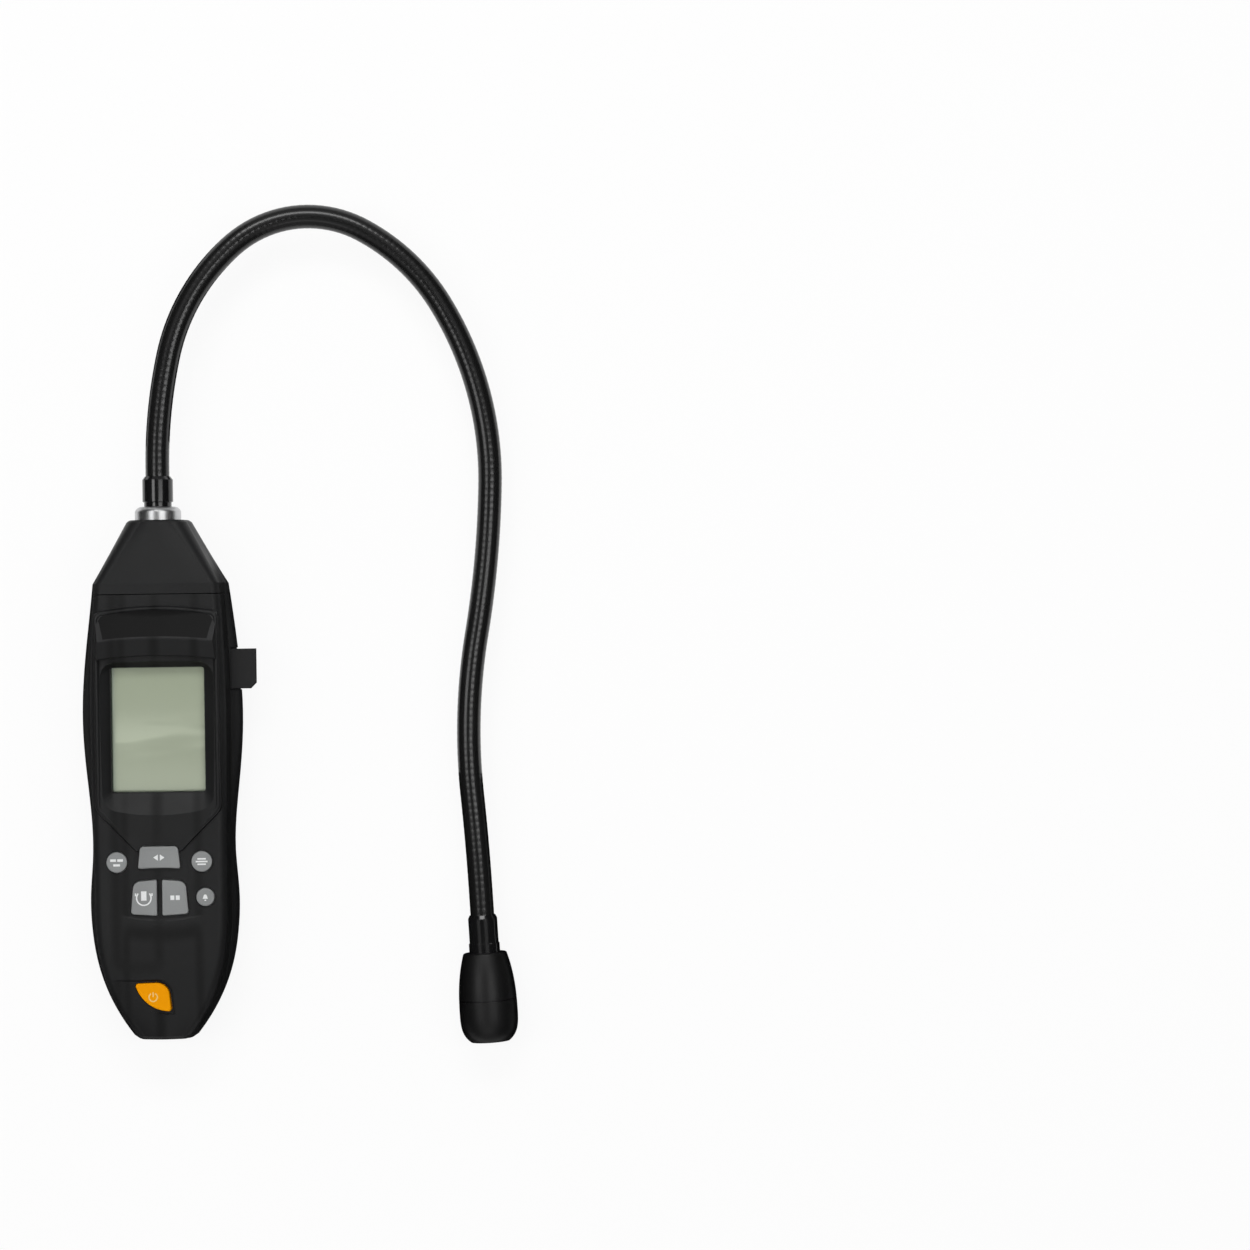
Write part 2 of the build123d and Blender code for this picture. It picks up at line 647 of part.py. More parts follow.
def front_shell():
    """Front half of the casing: surround, brow, key holes, posts and bosses."""
    low = PARTING_Z - 1
    seat_z = DISH_FLOOR_Z - FRAME_LIP
    shell = front_outer()
    shell -= shaped(front_section, tail_stations(TAIL_Y + WALL, SEAM_Y + 1), inset=WALL, low_z=low)
    seat = standing(view_rectangle(WINDOW_MARGIN + 1.6, 2.5), seat_z - WINDOW_THICK, HEAD_TOP - 1.3)
    bosses = [seat]
    cuts = [
        standing(rim_outline(WALL - LIP_WALL - LIP_GAP, SEAM_Y + 1), low, PARTING_Z + LIP_HEIGHT + LIP_GAP),
        dish(),
        standing(view_rectangle(WINDOW_MARGIN + 0.1, 2.1), PARTING_Z, seat_z),
        standing(view_rectangle(0.0, VIEW_CORNER), PARTING_Z, HEAD_TOP),
        keypad_hollow(),
        thumb_recess(),
    ]
    for x, y in FRONT_SCREWS:
        bosses.append(post(x, y, PARTING_Z + 0.1, face_z(x, y) - 1.4, BOSS_RADIUS))
        cuts.append(post(x, y, PARTING_Z, PARTING_Z + FRONT_PILOT, SCREW_RADIUS + PILOT_GAP))
    for x, y in BOARD_SCREWS:
        bosses.append(post(x, y, BOARD_TOP_Z, face_z(x, y) - 1.4, POST_RADIUS))
        cuts.append(post(x, y, BOARD_Z, BOARD_TOP_Z + 4.6, BOARD_SCREW_RADIUS + PILOT_GAP))
    for outline, centre in KEYS.values():
        cuts.append(standing(outline(KEY_GAP), PARTING_Z, HEAD_TOP + 4))
        cuts.append(standing(outline(KEY_FLANGE + KEY_GAP), PARTING_Z, key_seat_z(centre)))
    return shell + bosses - cuts


def keypad_hollow():
    """Shallow hollow around the lower keys, which ends in a smile-shaped crease."""
    ball_z = top_z(DISH_SPHERE_Y) - DISH_SPHERE_DEPTH + DISH_SPHERE_RADIUS
    zone = standing(Pos(0, DISH_SPHERE_Y - 3) * Rectangle(60, 36), PARTING_Z, HEAD_TOP + 3)
    ball = (Pos(0, DISH_SPHERE_Y, ball_z) * Sphere(DISH_SPHERE_RADIUS)) & zone
    return ball - standing(bezel_outline(), PARTING_Z, HEAD_TOP + 4)


def nose_cover():
    """Front half of the nose, from the seam to the collar."""
    start = SEAM_Y + SEAM_GAP / 2
    places = [start, (start + SHOULDER_Y) / 2, SHOULDER_Y] + stations(SHOULDER_Y + 5, NOSE_Y - NOSE_EDGE, 4)
    end = loft([front_section(NOSE_Y - NOSE_EDGE), front_section(NOSE_Y, inset=0.8 * NOSE_EDGE)])
    shell = shaped(front_section, places) + end
    inner = [SEAM_Y - 1, (start + SHOULDER_Y) / 2, SHOULDER_Y] + stations(SHOULDER_Y + 4, NOSE_Y - 2 * WALL, 4)
    shell -= shaped(front_section, inner, inset=WALL, low_z=PARTING_Z - 1)
    bosses = []
    cuts = [collar_hole()]
    for x, y in NOSE_SCREWS:
        bosses.append(post(x, y, PARTING_Z + 0.1, face_z(x, y) - 1.4, BOSS_RADIUS))
        cuts.append(post(x, y, PARTING_Z, PARTING_Z + NOSE_PILOT, SCREW_RADIUS + PILOT_GAP))
    return shell + bosses - cuts


def collar_hole():
    """Clearance through the nose's end for the collar's shank."""
    return Pos(0, NOSE_Y, PARTING_Z) * Rot(90, 0, 0) * Cylinder(COLLAR_SHANK_RADIUS + COLLAR_BORE_GAP, 4 * WALL + 2)


def bay_size():
    """Inner width, length and roof height of the battery bay."""
    width = (CELL_COUNT - 1) * CELL_PITCH + 2 * CELL_RADIUS + BAY_CLEAR
    length = CELL_LENGTH + CELL_BUTTON + 2 * BAY_END_CLEAR
    roof = COVER_THICK + 2 * CELL_RADIUS + 2 * STACK_GAP + 0.3
    return width, length, roof


def bay_block(margin, low_z, high_z, corner=1.0):
    """A block over the battery bay, grown by margin."""
    width, length, _ = bay_size()
    shape = RectangleRounded(width + 2 * margin, length + 2 * margin, corner)
    return standing(Pos(0, BAY_CENTRE_Y) * shape, low_z, high_z)


def cover_screw_y():
    """Place of the screw that holds the battery cover, past the bay's tail end."""
    return BAY_CENTRE_Y - bay_size()[1] / 2 - BAY_WALL - SCREW_HEAD_RADIUS - 1.2


def cover_outline(grow=0.0):
    """Battery cover in plan: a rounded plate with a tongue for its screw."""
    width, length, _ = bay_size()
    low_y = cover_screw_y() - SCREW_HEAD_RADIUS - 1.2
    top_y = BAY_CENTRE_Y + length / 2 + COVER_LEDGE
    plate = Pos(0, (low_y + top_y) / 2) * RectangleRounded(
        width + 2 * COVER_LEDGE + 2 * grow, top_y - low_y + 2 * grow, COVER_CORNER + grow
    )
    return plate


def rear_shell():
    """Rear half of the casing: battery bay, screw bosses, port pocket and nose end."""
    nose = stations(SHOULDER_Y + 5, NOSE_Y - NOSE_EDGE, 4)
    body = shaped(rear_section, tail_stations(TAIL_Y + TAIL_EDGE, SHOULDER_Y) + nose)
    tail = loft([rear_section(TAIL_Y, inset=0.7 * TAIL_EDGE), rear_section(TAIL_Y + TAIL_EDGE)])
    end = loft([rear_section(NOSE_Y - NOSE_EDGE), rear_section(NOSE_Y, inset=0.8 * NOSE_EDGE)])
    outer = (body + [tail, end]) & slab(0, PARTING_Z + 1)
    nose = stations(SHOULDER_Y + 4, NOSE_Y - 2 * WALL, 4)
    inner = shaped(rear_section, tail_stations(TAIL_Y + WALL, SHOULDER_Y) + nose, inset=WALL, high_z=PARTING_Z + 1)
    shell = outer - (inner & slab(WALL, PARTING_Z + 2))
    lip = standing(rim_outline(WALL - LIP_WALL, SEAM_Y - 2), PARTING_Z - LIP_ROOT, PARTING_Z + LIP_HEIGHT)
    lip -= standing(rim_outline(WALL + LIP_GAP, SEAM_Y), 0, 2 * PARTING_Z)
    _, _, roof = bay_size()
    bay = bay_block(0.0, -1, roof)
    ledge = standing(cover_outline(1.6), 0, COVER_THICK + 1.4)
    extras = [lip, bay_block(BAY_WALL, 0.5, roof + BAY_WALL, 2.0), ledge]
    cuts = [bay, standing(cover_outline(COVER_GAP), -1, COVER_THICK), collar_hole()]
    for x, y in CASE_SCREWS:
        extras.append(post(x, y, back_z(y) + WALL / 3, PARTING_Z - 0.1, BOSS_RADIUS))
        cuts.append(post(x, y, -1, screw_head_z(y), SCREW_HEAD_RADIUS + PILOT_GAP))
        cuts.append(post(x, y, 0, PARTING_Z + 1, SCREW_RADIUS + PILOT_GAP))
    extras.append(post(0, cover_screw_y(), COVER_THICK, 9.0, BOSS_RADIUS))
    cuts.append(post(0, cover_screw_y(), 0, 8.0, SCREW_RADIUS + PILOT_GAP))
    extras.append(port_block())
    cuts += [port_pocket(), port_hole()]
    return shell + extras - cuts + hinge_rail()


def screw_head_z(y):
    """Height of the ledge under a case screw's head."""
    return BOSS_SINK_Z + max(0.0, back_z(y))


def port_block():
    """Thickening behind the charging port's pocket."""
    inner_x = POCKET_FLOOR_X - PORT_BLOCK_DEPTH
    outer_x = half_width(PORT_Y) + 0.3
    place = Pos((inner_x + outer_x) / 2, PORT_Y, (WALL / 2 + PARTING_Z) / 2)
    return place * Box(outer_x - inner_x, POCKET_LENGTH + 4, PARTING_Z - WALL / 2)


def port_pocket():
    """Pocket in the side that the closed port cover lies in."""
    depth = 12.0
    height = PARTING_Z + 2 - POCKET_LOW_Z
    place = Pos(POCKET_FLOOR_X + depth / 2, PORT_Y, POCKET_LOW_Z + height / 2)
    return place * Box(depth, POCKET_LENGTH, height)


def port_hole():
    """Hole through the pocket's floor to the charging jack."""
    place = Pos(POCKET_FLOOR_X, PORT_Y, PORT_Z) * Rot(0, 90, 0)
    return place * Cylinder(PORT_HOLE_RADIUS, 3 * PORT_BLOCK_DEPTH)


def hinge_rail():
    """Rib at the pocket's top that holds the port cover's hinge bead from behind and above."""
    width = 1.5
    rail = Pos(POCKET_FLOOR_X + width / 2 - 0.2, PORT_Y, HINGE_Z + HINGE_RADIUS / 2)
    rail *= Box(width, POCKET_LENGTH, HINGE_RADIUS)
    groove = Pos(HINGE_X, PORT_Y, HINGE_Z) * Rot(90, 0, 0) * Cylinder(HINGE_RADIUS + HINGE_GAP, POCKET_LENGTH + 1)
    return rail - groove


def port_cover():
    """Rubber cover of the charging port, standing open on its hinge bead."""
    bead = Pos(HINGE_X, PORT_Y, HINGE_Z) * Rot(90, 0, 0) * Cylinder(HINGE_RADIUS, FLAP_LENGTH)
    plate = Pos(HINGE_X + FLAP_REACH / 2, PORT_Y, HINGE_Z) * Box(FLAP_REACH, FLAP_LENGTH, 2 * HINGE_RADIUS)
    far = plate.edges().filter_by(Axis.Z).sort_by(Axis.X)[-2:].sort_by(Axis.Y)
    plate = chamfer(far[0], FLAP_CORNER)
    plate = fillet(plate.faces().sort_by(Axis.Z)[-1].edges().sort_by(Axis.X)[1:], 0.3)
    reach = HINGE_Z - PORT_Z
    stub = post(HINGE_X + reach, PORT_Y, HINGE_Z - HINGE_RADIUS - FLAP_STUB, HINGE_Z, FLAP_STUB_RADIUS)
    return bead + plate + stub


def jack():
    """Charging socket under the board, with its barrel's bore and centre pin."""
    face_x = POCKET_FLOOR_X - PORT_BLOCK_DEPTH - 0.3
    height = 2 * (BOARD_Z - STACK_GAP - PORT_Z)
    body = Pos(face_x - JACK_LENGTH / 2, PORT_Y, PORT_Z) * Box(JACK_LENGTH, JACK_WIDTH, height)
    bore = Pos(face_x - JACK_BORE_DEPTH / 2, PORT_Y, PORT_Z) * Rot(0, 90, 0) * Cylinder(JACK_BORE_RADIUS, JACK_BORE_DEPTH)
    pin_length = JACK_BORE_DEPTH - 0.5
    pin = Pos(face_x - JACK_BORE_DEPTH + pin_length / 2, PORT_Y, PORT_Z) * Rot(0, 90, 0) * Cylinder(JACK_PIN_RADIUS, pin_length)
    return body - bore + pin


def battery_cover():
    """Plate that closes the battery bay, with a sunk screw hole and a locating rib."""
    plate = standing(cover_outline(), 0, COVER_THICK - 0.1)
    rib = bay_block(-0.4, COVER_THICK - 0.2, COVER_THICK + 0.2) - bay_block(-1.6, 0, COVER_THICK + 1)
    cover = plate + rib
    cover -= post(0, cover_screw_y(), -1, SCREW_HEAD * 0.6, SCREW_HEAD_RADIUS + 0.2)
    cover -= post(0, cover_screw_y(), -1, COVER_THICK + 1, SCREW_RADIUS + 0.2)
    grip_y = BAY_CENTRE_Y + bay_size()[1] / 2 - 6
    for step in range(3):
        cover -= Pos(0, grip_y - 3.0 * step, 0) * Box(14, 1.2, 1.0)
    return cover


def cell(index):
    """One AAA cell, with its button towards the nose."""
    x = (index - (CELL_COUNT - 1) / 2) * CELL_PITCH
    z = COVER_THICK + 0.3 + CELL_RADIUS
    along = Rot(90, 0, 0)
    can = Pos(x, BAY_CENTRE_Y - CELL_BUTTON / 2, z) * along * Cylinder(CELL_RADIUS, CELL_LENGTH)
    can = fillet(can.edges(), 0.6)
    button_y = BAY_CENTRE_Y + CELL_LENGTH / 2
    return can + Pos(x, button_y, z) * along * Cylinder(CELL_BUTTON_RADIUS, CELL_BUTTON)


def cell_contacts(end):
    """Three pressed contact plates at one end of the battery bay."""
    width, length, _ = bay_size()
    z = COVER_THICK + 0.3 + CELL_RADIUS
    wall_y = BAY_CENTRE_Y + end * length / 2
    cell_end_y = BAY_CENTRE_Y + end * (CELL_LENGTH + CELL_BUTTON) / 2
    dome = abs(wall_y - cell_end_y) - CONTACT_THICK - STACK_GAP
    plates = []
    for index in range(CELL_COUNT):
        x = (index - (CELL_COUNT - 1) / 2) * CELL_PITCH
        plate = Pos(x, wall_y - end * CONTACT_THICK / 2, z) * Box(8.4, CONTACT_THICK, 8.4)
        cone = Cone(3.2, 1.6, dome)
        cone = Pos(x, wall_y - end * (CONTACT_THICK + dome / 2), z) * Rot(90 * end, 0, 0) * cone
        plates.append(plate + cone)
    return Compound(children=plates)


def board():
    """Main circuit board, narrowed towards the tail and notched round the bosses."""
    half, tail = BOARD_HALF, BOARD_TAIL_HALF
    narrow_y = BOARD_NECK_Y
    points = [
        (-half, BOARD_NOSE_Y), (half, BOARD_NOSE_Y), (half, narrow_y + 12), (half - 3, narrow_y),
        (tail, narrow_y), (tail, BOARD_TAIL_Y), (-tail, BOARD_TAIL_Y), (-tail, narrow_y),
        (-half + 3, narrow_y), (-half, narrow_y + 12),
    ]
    plate = standing(make_face(Polyline(*points, close=True)), BOARD_Z, BOARD_TOP_Z)
    for x, y in BOARD_SCREWS:
        plate -= post(x, y, 0, 2 * PARTING_Z, BOARD_SCREW_RADIUS + 0.15)
    return plate


def key(name):
    """A key: cap with a rounded rim, a flange that keeps it in and a stem."""
    outline, centre = KEYS[name]
    x, y = centre
    low_z = key_low_z(name)
    seat_z = low_z + KEY_FLANGE_THICK
    top = face_z(x, y) + KEY_PROUD - (THUMB_DEPTH * 0.4 if name == "key_power" else 0.0)
    cap = standing(outline(), low_z, top)
    cap = fillet(cap.faces().sort_by(Axis.Z)[-1].edges(), KEY_ROUND)
    flange = standing(outline(KEY_FLANGE), low_z, seat_z)
    stem = post(x, y, switch_top_z(name) + KEY_TRAVEL + SWITCH_GAP, seat_z, KEY_STEM_RADIUS)
    return cap + flange + stem


def key_low_z(name):
    """Height of the underside of a key's flange."""
    return key_seat_z(KEYS[name][1]) - SWITCH_GAP - KEY_FLANGE_THICK


def switch_top_z(name):
    """Height of a tactile switch's plunger, lower where its key lies low."""
    return min(BOARD_TOP_Z + SWITCH_BODY + SWITCH_PLUNGER, key_low_z(name) - KEY_TRAVEL - SWITCH_GAP)


def tactile_switch(name):
    """Tactile switch under a key: a square body with a round plunger."""
    x, y = KEYS[name][1]
    low = BOARD_TOP_Z
    height = switch_top_z(name) - SWITCH_PLUNGER - low
    body = Pos(x, y, low + height / 2) * Box(SWITCH_SIZE, SWITCH_SIZE, height)
    body = chamfer(body.edges().filter_by(Axis.Z), 0.6)
    return body + post(x, y, low, switch_top_z(name), SWITCH_PLUNGER_RADIUS)


def window():
    """Clear display window, glued from inside under the dish's frame."""
    return standing(view_rectangle(WINDOW_MARGIN, 2.0), DISH_FLOOR_Z - FRAME_LIP - WINDOW_THICK, DISH_FLOOR_Z - FRAME_LIP)


def panel_z():
    """Height of the display glass's upper face."""
    return DISH_FLOOR_Z - FRAME_LIP - WINDOW_THICK - STACK_GAP


def display_panel():
    """Display glass: two sheets, the upper one set back at the contact ledge."""
    low = panel_z() - PANEL_THICK
    lower = standing(view_rectangle(PANEL_MARGIN, 0.4), low, panel_z() - PANEL_THICK / 2)
    upper_shape = Pos(0, 1.0) * view_rectangle(PANEL_MARGIN - 1.0, 0.4)
    return lower + standing(upper_shape, low, panel_z())


def backlight():
    """Light guide behind the display glass."""
    high = panel_z() - PANEL_THICK - STACK_GAP
    return standing(view_rectangle(PANEL_MARGIN, 0.4), high - BACKLIGHT_THICK, high)


def display_holder():
    """Frame that clips the display glass and the light guide to the board."""
    low = BOARD_TOP_Z
    inner = view_rectangle(PANEL_MARGIN + 0.15, 0.5)
    ring = standing(view_rectangle(PANEL_MARGIN + 0.15 + HOLDER_WALL, 1.0), low, panel_z() - 0.8)
    ring -= standing(inner, low + 0.6, panel_z() + 1)
    return ring - standing(view_rectangle(-4.0, 0.5), low - 1, low + 1)


def chip():
    """Controller chip on the board's underside, with its two rows of legs."""
    high = BOARD_Z - STACK_GAP / 2
    body = Pos(0, CHIP_Y, high - CHIP_THICK / 2) * Box(CHIP_SIZE, CHIP_SIZE, CHIP_THICK)
    body = chamfer(body.faces().sort_by(Axis.Z)[0].edges(), 0.3)
    legs = [
        Pos(side * (CHIP_SIZE / 2 + 0.6), CHIP_Y + (i - 3.5) * 1.2, high - 0.3) * Box(1.6, 0.5, 0.5)
        for side in (-1, 1)
        for i in range(8)
    ]
    for leg in legs:
        body += leg
    return body


def sounder():
    """Round sounder on the board's underside, with its sound hole."""
    can = post(SOUNDER_X, SOUNDER_Y, BOARD_Z - SOUNDER_THICK, BOARD_Z, SOUNDER_RADIUS)
    can = fillet(can.edges().sort_by(Axis.Z)[0], 0.6)
    return can - post(SOUNDER_X, SOUNDER_Y, BOARD_Z - SOUNDER_THICK - 1, BOARD_Z - SOUNDER_THICK + 2, 1.0)


def header():
    """Connector at the board's nose end that takes the probe lead's plug."""
    y = BOARD_NOSE_Y + HEADER_LENGTH / 2
    shell = Pos(0, y, PARTING_Z) * Box(HEADER_WIDTH, HEADER_LENGTH, HEADER_THICK)
    mouth = Pos(0, y + 1.0, PARTING_Z) * Box(HEADER_WIDTH - 1.6, HEADER_LENGTH, HEADER_THICK - 1.6)
    return shell - mouth


def lead_plug():
    """Plug on the probe lead, pushed into the header."""
    y = BOARD_NOSE_Y + 2.2 + PLUG_LENGTH / 2
    body = Pos(0, y, PARTING_Z) * Box(HEADER_WIDTH - 1.9, PLUG_LENGTH, HEADER_THICK - 1.9)
    bore = Pos(0, y + PLUG_LENGTH / 2, PARTING_Z) * Rot(90, 0, 0) * Cylinder(LEAD_RADIUS, 4.0)
    return body - bore


def screw(x, y, head_z, length, radius, head_radius, head):
    """A pan-head screw pointing up, with a cross recess in its head."""
    shank = post(x, y, head_z, head_z + length, radius)
    cap = post(x, y, head_z - head, head_z, head_radius)
    cap = fillet(cap.edges().sort_by(Axis.Z)[0], head * 0.35)
    drive = Box(2 * head_radius * 0.62, 0.5, SCREW_DRIVE) + Box(0.5, 2 * head_radius * 0.62, SCREW_DRIVE)
    return shank + cap - Pos(x, y, head_z - head) * drive


def case_screws():
    """Screws that hold the rear shell to the front shell and the nose cover."""
    found = []
    for x, y in CASE_SCREWS:
        head_z = screw_head_z(y)
        depth = NOSE_PILOT if (x, y) in NOSE_SCREWS else FRONT_PILOT
        reach = PARTING_Z + depth - 0.5
        found.append(screw(x, y, head_z, reach - head_z, SCREW_RADIUS, SCREW_HEAD_RADIUS, SCREW_HEAD))
    return Compound(children=found)


def board_screws():
    """Four screws that hold the board to the front shell's posts."""
    found = [
        screw(x, y, BOARD_Z, BOARD_THICK + 4.0, BOARD_SCREW_RADIUS, BOARD_SCREW_HEAD_RADIUS, BOARD_SCREW_HEAD)
        for x, y in BOARD_SCREWS
    ]
    return Compound(children=found)


def cover_screw():
    """Screw that holds the battery cover."""
    head_z = SCREW_HEAD * 0.6
    return screw(0, cover_screw_y(), head_z, 6.0, SCREW_RADIUS, SCREW_HEAD_RADIUS, SCREW_HEAD * 0.6)


# Gooseneck and what it carries. Its bends lie in one plane, which is rolled about the
# collar's axis so that the probe comes down to the surface that the casing lies on.


def neck_path(back=0.0, ahead=0.0):
    """The gooseneck's centre line, made longer at its casing end and its probe end."""
    edges = [Line((0, NECK_Y - back), (0, NECK_Y + NECK_LEAD_IN))]
    for radius, turn in NECK_BENDS:
        last = edges[-1]
        edges.append(JernArc(last @ 1, last % 1, radius, turn))
    last = edges[-1]
    edges.append(Line(last @ 1, last @ 1 + (last % 1) * (NECK_LEAD_OUT + ahead)))
    return neck_place() * Wire(edges)


def neck_place():
    """Turns the flat gooseneck onto its rolled plane through the collar's axis."""
    return Pos(0, 0, PARTING_Z) * Rot(0, NECK_ROLL, 0)


def neck_tube(radius, bore, back, ahead):
    """A round tube, or a round bar if bore is 0, along the gooseneck's line."""
    path = neck_path(back, ahead)
    start = Plane(path @ 0, z_dir=path % 0)
    ring = start * Circle(radius)
    if bore:
        ring -= start * Circle(bore)
    return sweep(ring, path)


def probe_plane():
    """Plane at the gooseneck's far end, facing outwards along the probe."""
    path = neck_path()
    return Plane(path @ 1, z_dir=path % 1)


def turned(points, place):
    """A turned part from its half-profile of (radius, distance along the axis) points."""
    face = Plane.XZ * make_face(Polyline(*points, close=True))
    return place * revolve(face, Axis.Z, 360)


def collar_place():
    """Places a turned part on the collar's axis, with its zero at the nose's end."""
    return Plane(origin=(0, NOSE_Y, PARTING_Z), z_dir=(0, 1, 0), x_dir=(1, 0, 0))


def collar():
    """Metal collar: a rim on the nose's end, a domed top and a shank inside."""
    bore = SPIGOT_RADIUS + COLLAR_BORE_GAP
    dome_top = COLLAR_RIM + COLLAR_DOME
    shoulder = 0.25 * COLLAR_DOME_TOP_RADIUS + 0.75 * COLLAR_RADIUS
    edges = [
        Polyline((bore, dome_top), (bore, -COLLAR_SHANK), (COLLAR_SHANK_RADIUS, -COLLAR_SHANK),
                 (COLLAR_SHANK_RADIUS, 0), (COLLAR_RADIUS, 0), (COLLAR_RADIUS, COLLAR_RIM)),
        ThreePointArc((COLLAR_RADIUS, COLLAR_RIM), (shoulder, COLLAR_RIM + 0.62 * COLLAR_DOME),
                      (COLLAR_DOME_TOP_RADIUS, dome_top)),
        Line((COLLAR_DOME_TOP_RADIUS, dome_top), (bore, dome_top)),
    ]
    return collar_place() * revolve(Plane.XZ * make_face(edges), Axis.Z, 360)


def collar_nut():
    """Hexagon nut that clamps the collar from inside the nose."""
    low = -COLLAR_SHANK + 0.6
    hexagon = RegularPolygon(NUT_ACROSS_FLATS / 2, 6, major_radius=False)
    nut = extrude(hexagon, NUT_THICK) - Cylinder(COLLAR_SHANK_RADIUS + NUT_CLEAR, 3 * NUT_THICK)
    return collar_place() * Pos(0, 0, low) * nut


def casing_ferrule():
    """Crimped ferrule at the casing end, with a spigot down through the collar."""
    low = COLLAR_RIM + COLLAR_DOME
    high = low + FERRULE_LENGTH
    step = low + FERRULE_STEP
    spring = NECK_RADIUS - SLEEVE_WALL
    sleeve = NECK_RADIUS + NECK_FIT
    points = [
        (spring, -COLLAR_SHANK - 1.5),
        (SPIGOT_RADIUS, -COLLAR_SHANK - 1.5),
        (SPIGOT_RADIUS, low),
        (FERRULE_STEP_RADIUS, low),
        (FERRULE_STEP_RADIUS, step),
        (FERRULE_RADIUS, step + 0.3),
        (FERRULE_RADIUS, high - FERRULE_CHAMFER),
        (FERRULE_RADIUS - 0.9, high),
        (sleeve, high),
        (sleeve, high - NECK_GRIP - 0.2),
        (spring, high - NECK_GRIP - 0.2),
    ]
    return turned(points, collar_place())


def probe_ferrule():
    """Crimped ferrule at the probe end, with a wider ring next to the probe."""
    radius = HEAD_FERRULE_RADIUS
    sleeve = NECK_RADIUS + NECK_FIT
    foot = HEAD_FERRULE_LENGTH + PROBE_WALL + 1.0
    ring = HEAD_FERRULE_LENGTH - HEAD_FERRULE_RING
    points = [
        (sleeve, 0),
        (radius - 0.5 * FERRULE_CHAMFER, 0),
        (radius, FERRULE_CHAMFER),
        (radius, ring - HEAD_FERRULE_FLARE),
        (radius + HEAD_FERRULE_FLARE, ring),
        (radius + HEAD_FERRULE_FLARE, HEAD_FERRULE_LENGTH),
        (probe_bore() - 0.05, HEAD_FERRULE_LENGTH),
        (probe_bore() - 0.05, foot),
        (LEAD_RADIUS + 0.6, foot),
        (LEAD_RADIUS + 0.6, NECK_GRIP + 0.2),
        (sleeve, NECK_GRIP + 0.2),
    ]
    return turned(points, probe_plane().location)


def probe_bore():
    """Radius of the hole in the probe's near end for the ferrule's spigot."""
    return HEAD_FERRULE_RADIUS - PROBE_ROUND


def probe_place():
    """Places a turned part on the probe's axis, with its zero at the probe's near end."""
    return probe_plane().location * Pos(0, 0, HEAD_FERRULE_LENGTH)


def probe_radius(along):
    """Outer radius of the probe's barrel at a distance from its near end."""
    if along < PROBE_BELLY:
        share = (PROBE_BELLY - along) / PROBE_BELLY
        return PROBE_BELLY_RADIUS - (PROBE_BELLY_RADIUS - PROBE_NECK_RADIUS) * share**2.4
    share = (along - PROBE_BELLY) / (PROBE_LENGTH - PROBE_BELLY)
    return PROBE_BELLY_RADIUS - 2.6 * share**3


def barrel_wall(start, end, inset=0.0):
    """Spline of the barrel's profile from start to end, moved in by inset."""
    return Spline([(probe_radius(u) - inset, u) for u in stations(start, end, 6)])


def lap_radius():
    """Outer radius of the lap that joins the probe's two halves."""
    return probe_radius(PROBE_SEAM) - PROBE_WALL / 2 - 0.1


def probe_body():
    """Rear half of the probe: barrel, closed shoulder and a grooved lap for the cap."""
    end = PROBE_SEAM - SEAM_GAP / 2
    neck = probe_radius(0) - PROBE_ROUND
    lap = lap_radius()
    groove = lap - 2 * SEAL_RADIUS
    ring = PROBE_SEAM + PROBE_LAP / 2
    wall = barrel_wall(PROBE_ROUND, end)
    lining = barrel_wall(PROBE_WALL, PROBE_SEAM - 1.5, PROBE_WALL)
    edges = [
        Line((probe_bore(), 0), (neck, 0)),
        ThreePointArc((neck, 0), (wall @ 0 + Vector(-0.3 * PROBE_ROUND, -0.7 * PROBE_ROUND)), wall @ 0),
        wall,
        Polyline(
            wall @ 1, (lap, end), (lap, ring - SEAL_RADIUS), (groove, ring - SEAL_RADIUS),
            (groove, ring + SEAL_RADIUS), (lap, ring + SEAL_RADIUS), (lap, PROBE_SEAM + PROBE_LAP),
            (lap - PROBE_LAP_WALL, PROBE_SEAM + PROBE_LAP), (lap - PROBE_LAP_WALL, PROBE_SEAM - 1.5), lining @ 1,
        ),
        lining,
        Polyline(lining @ 0, (probe_bore(), PROBE_WALL), (probe_bore(), 0)),
    ]
    return probe_place() * revolve(Plane.XZ * make_face(edges), Axis.Z, 360)


def probe_cap():
    """Front half of the probe, with the gas inlet in its end."""
    start = PROBE_SEAM + SEAM_GAP / 2
    lap_end = PROBE_SEAM + PROBE_LAP + 0.2
    bore = lap_radius() + 0.1
    inner = PROBE_LENGTH - PROBE_WALL
    wall = barrel_wall(start, PROBE_CHAMFER_FROM)
    edges = [
        wall,
        Spline([wall @ 1, (0.5 * (wall @ 1).X + 0.5 * PROBE_END_RADIUS + 0.5, 0.5 * PROBE_CHAMFER_FROM
                + 0.5 * PROBE_LENGTH), (PROBE_END_RADIUS, PROBE_LENGTH)]),
        Polyline(
            (PROBE_END_RADIUS, PROBE_LENGTH), (INLET_RADIUS, PROBE_LENGTH), (INLET_RADIUS, inner),
            (PROBE_END_RADIUS, inner), (probe_radius(PROBE_CHAMFER_FROM) - PROBE_WALL, PROBE_CHAMFER_FROM),
            (bore - 0.6, lap_end), (bore, lap_end), (bore, start), wall @ 0,
        ),
    ]
    return probe_place() * revolve(Plane.XZ * make_face(edges), Axis.Z, 360)


def probe_seal():
    """Rubber ring in the lap between the probe's two halves."""
    ring = Torus(lap_radius() - SEAL_RADIUS, SEAL_RADIUS - 0.03)
    return probe_place() * Pos(0, 0, PROBE_SEAM + PROBE_LAP / 2) * ring


def filter_z():
    """Place of the filter's inner face along the probe."""
    return PROBE_LENGTH - PROBE_WALL - FILTER_THICK - 0.05


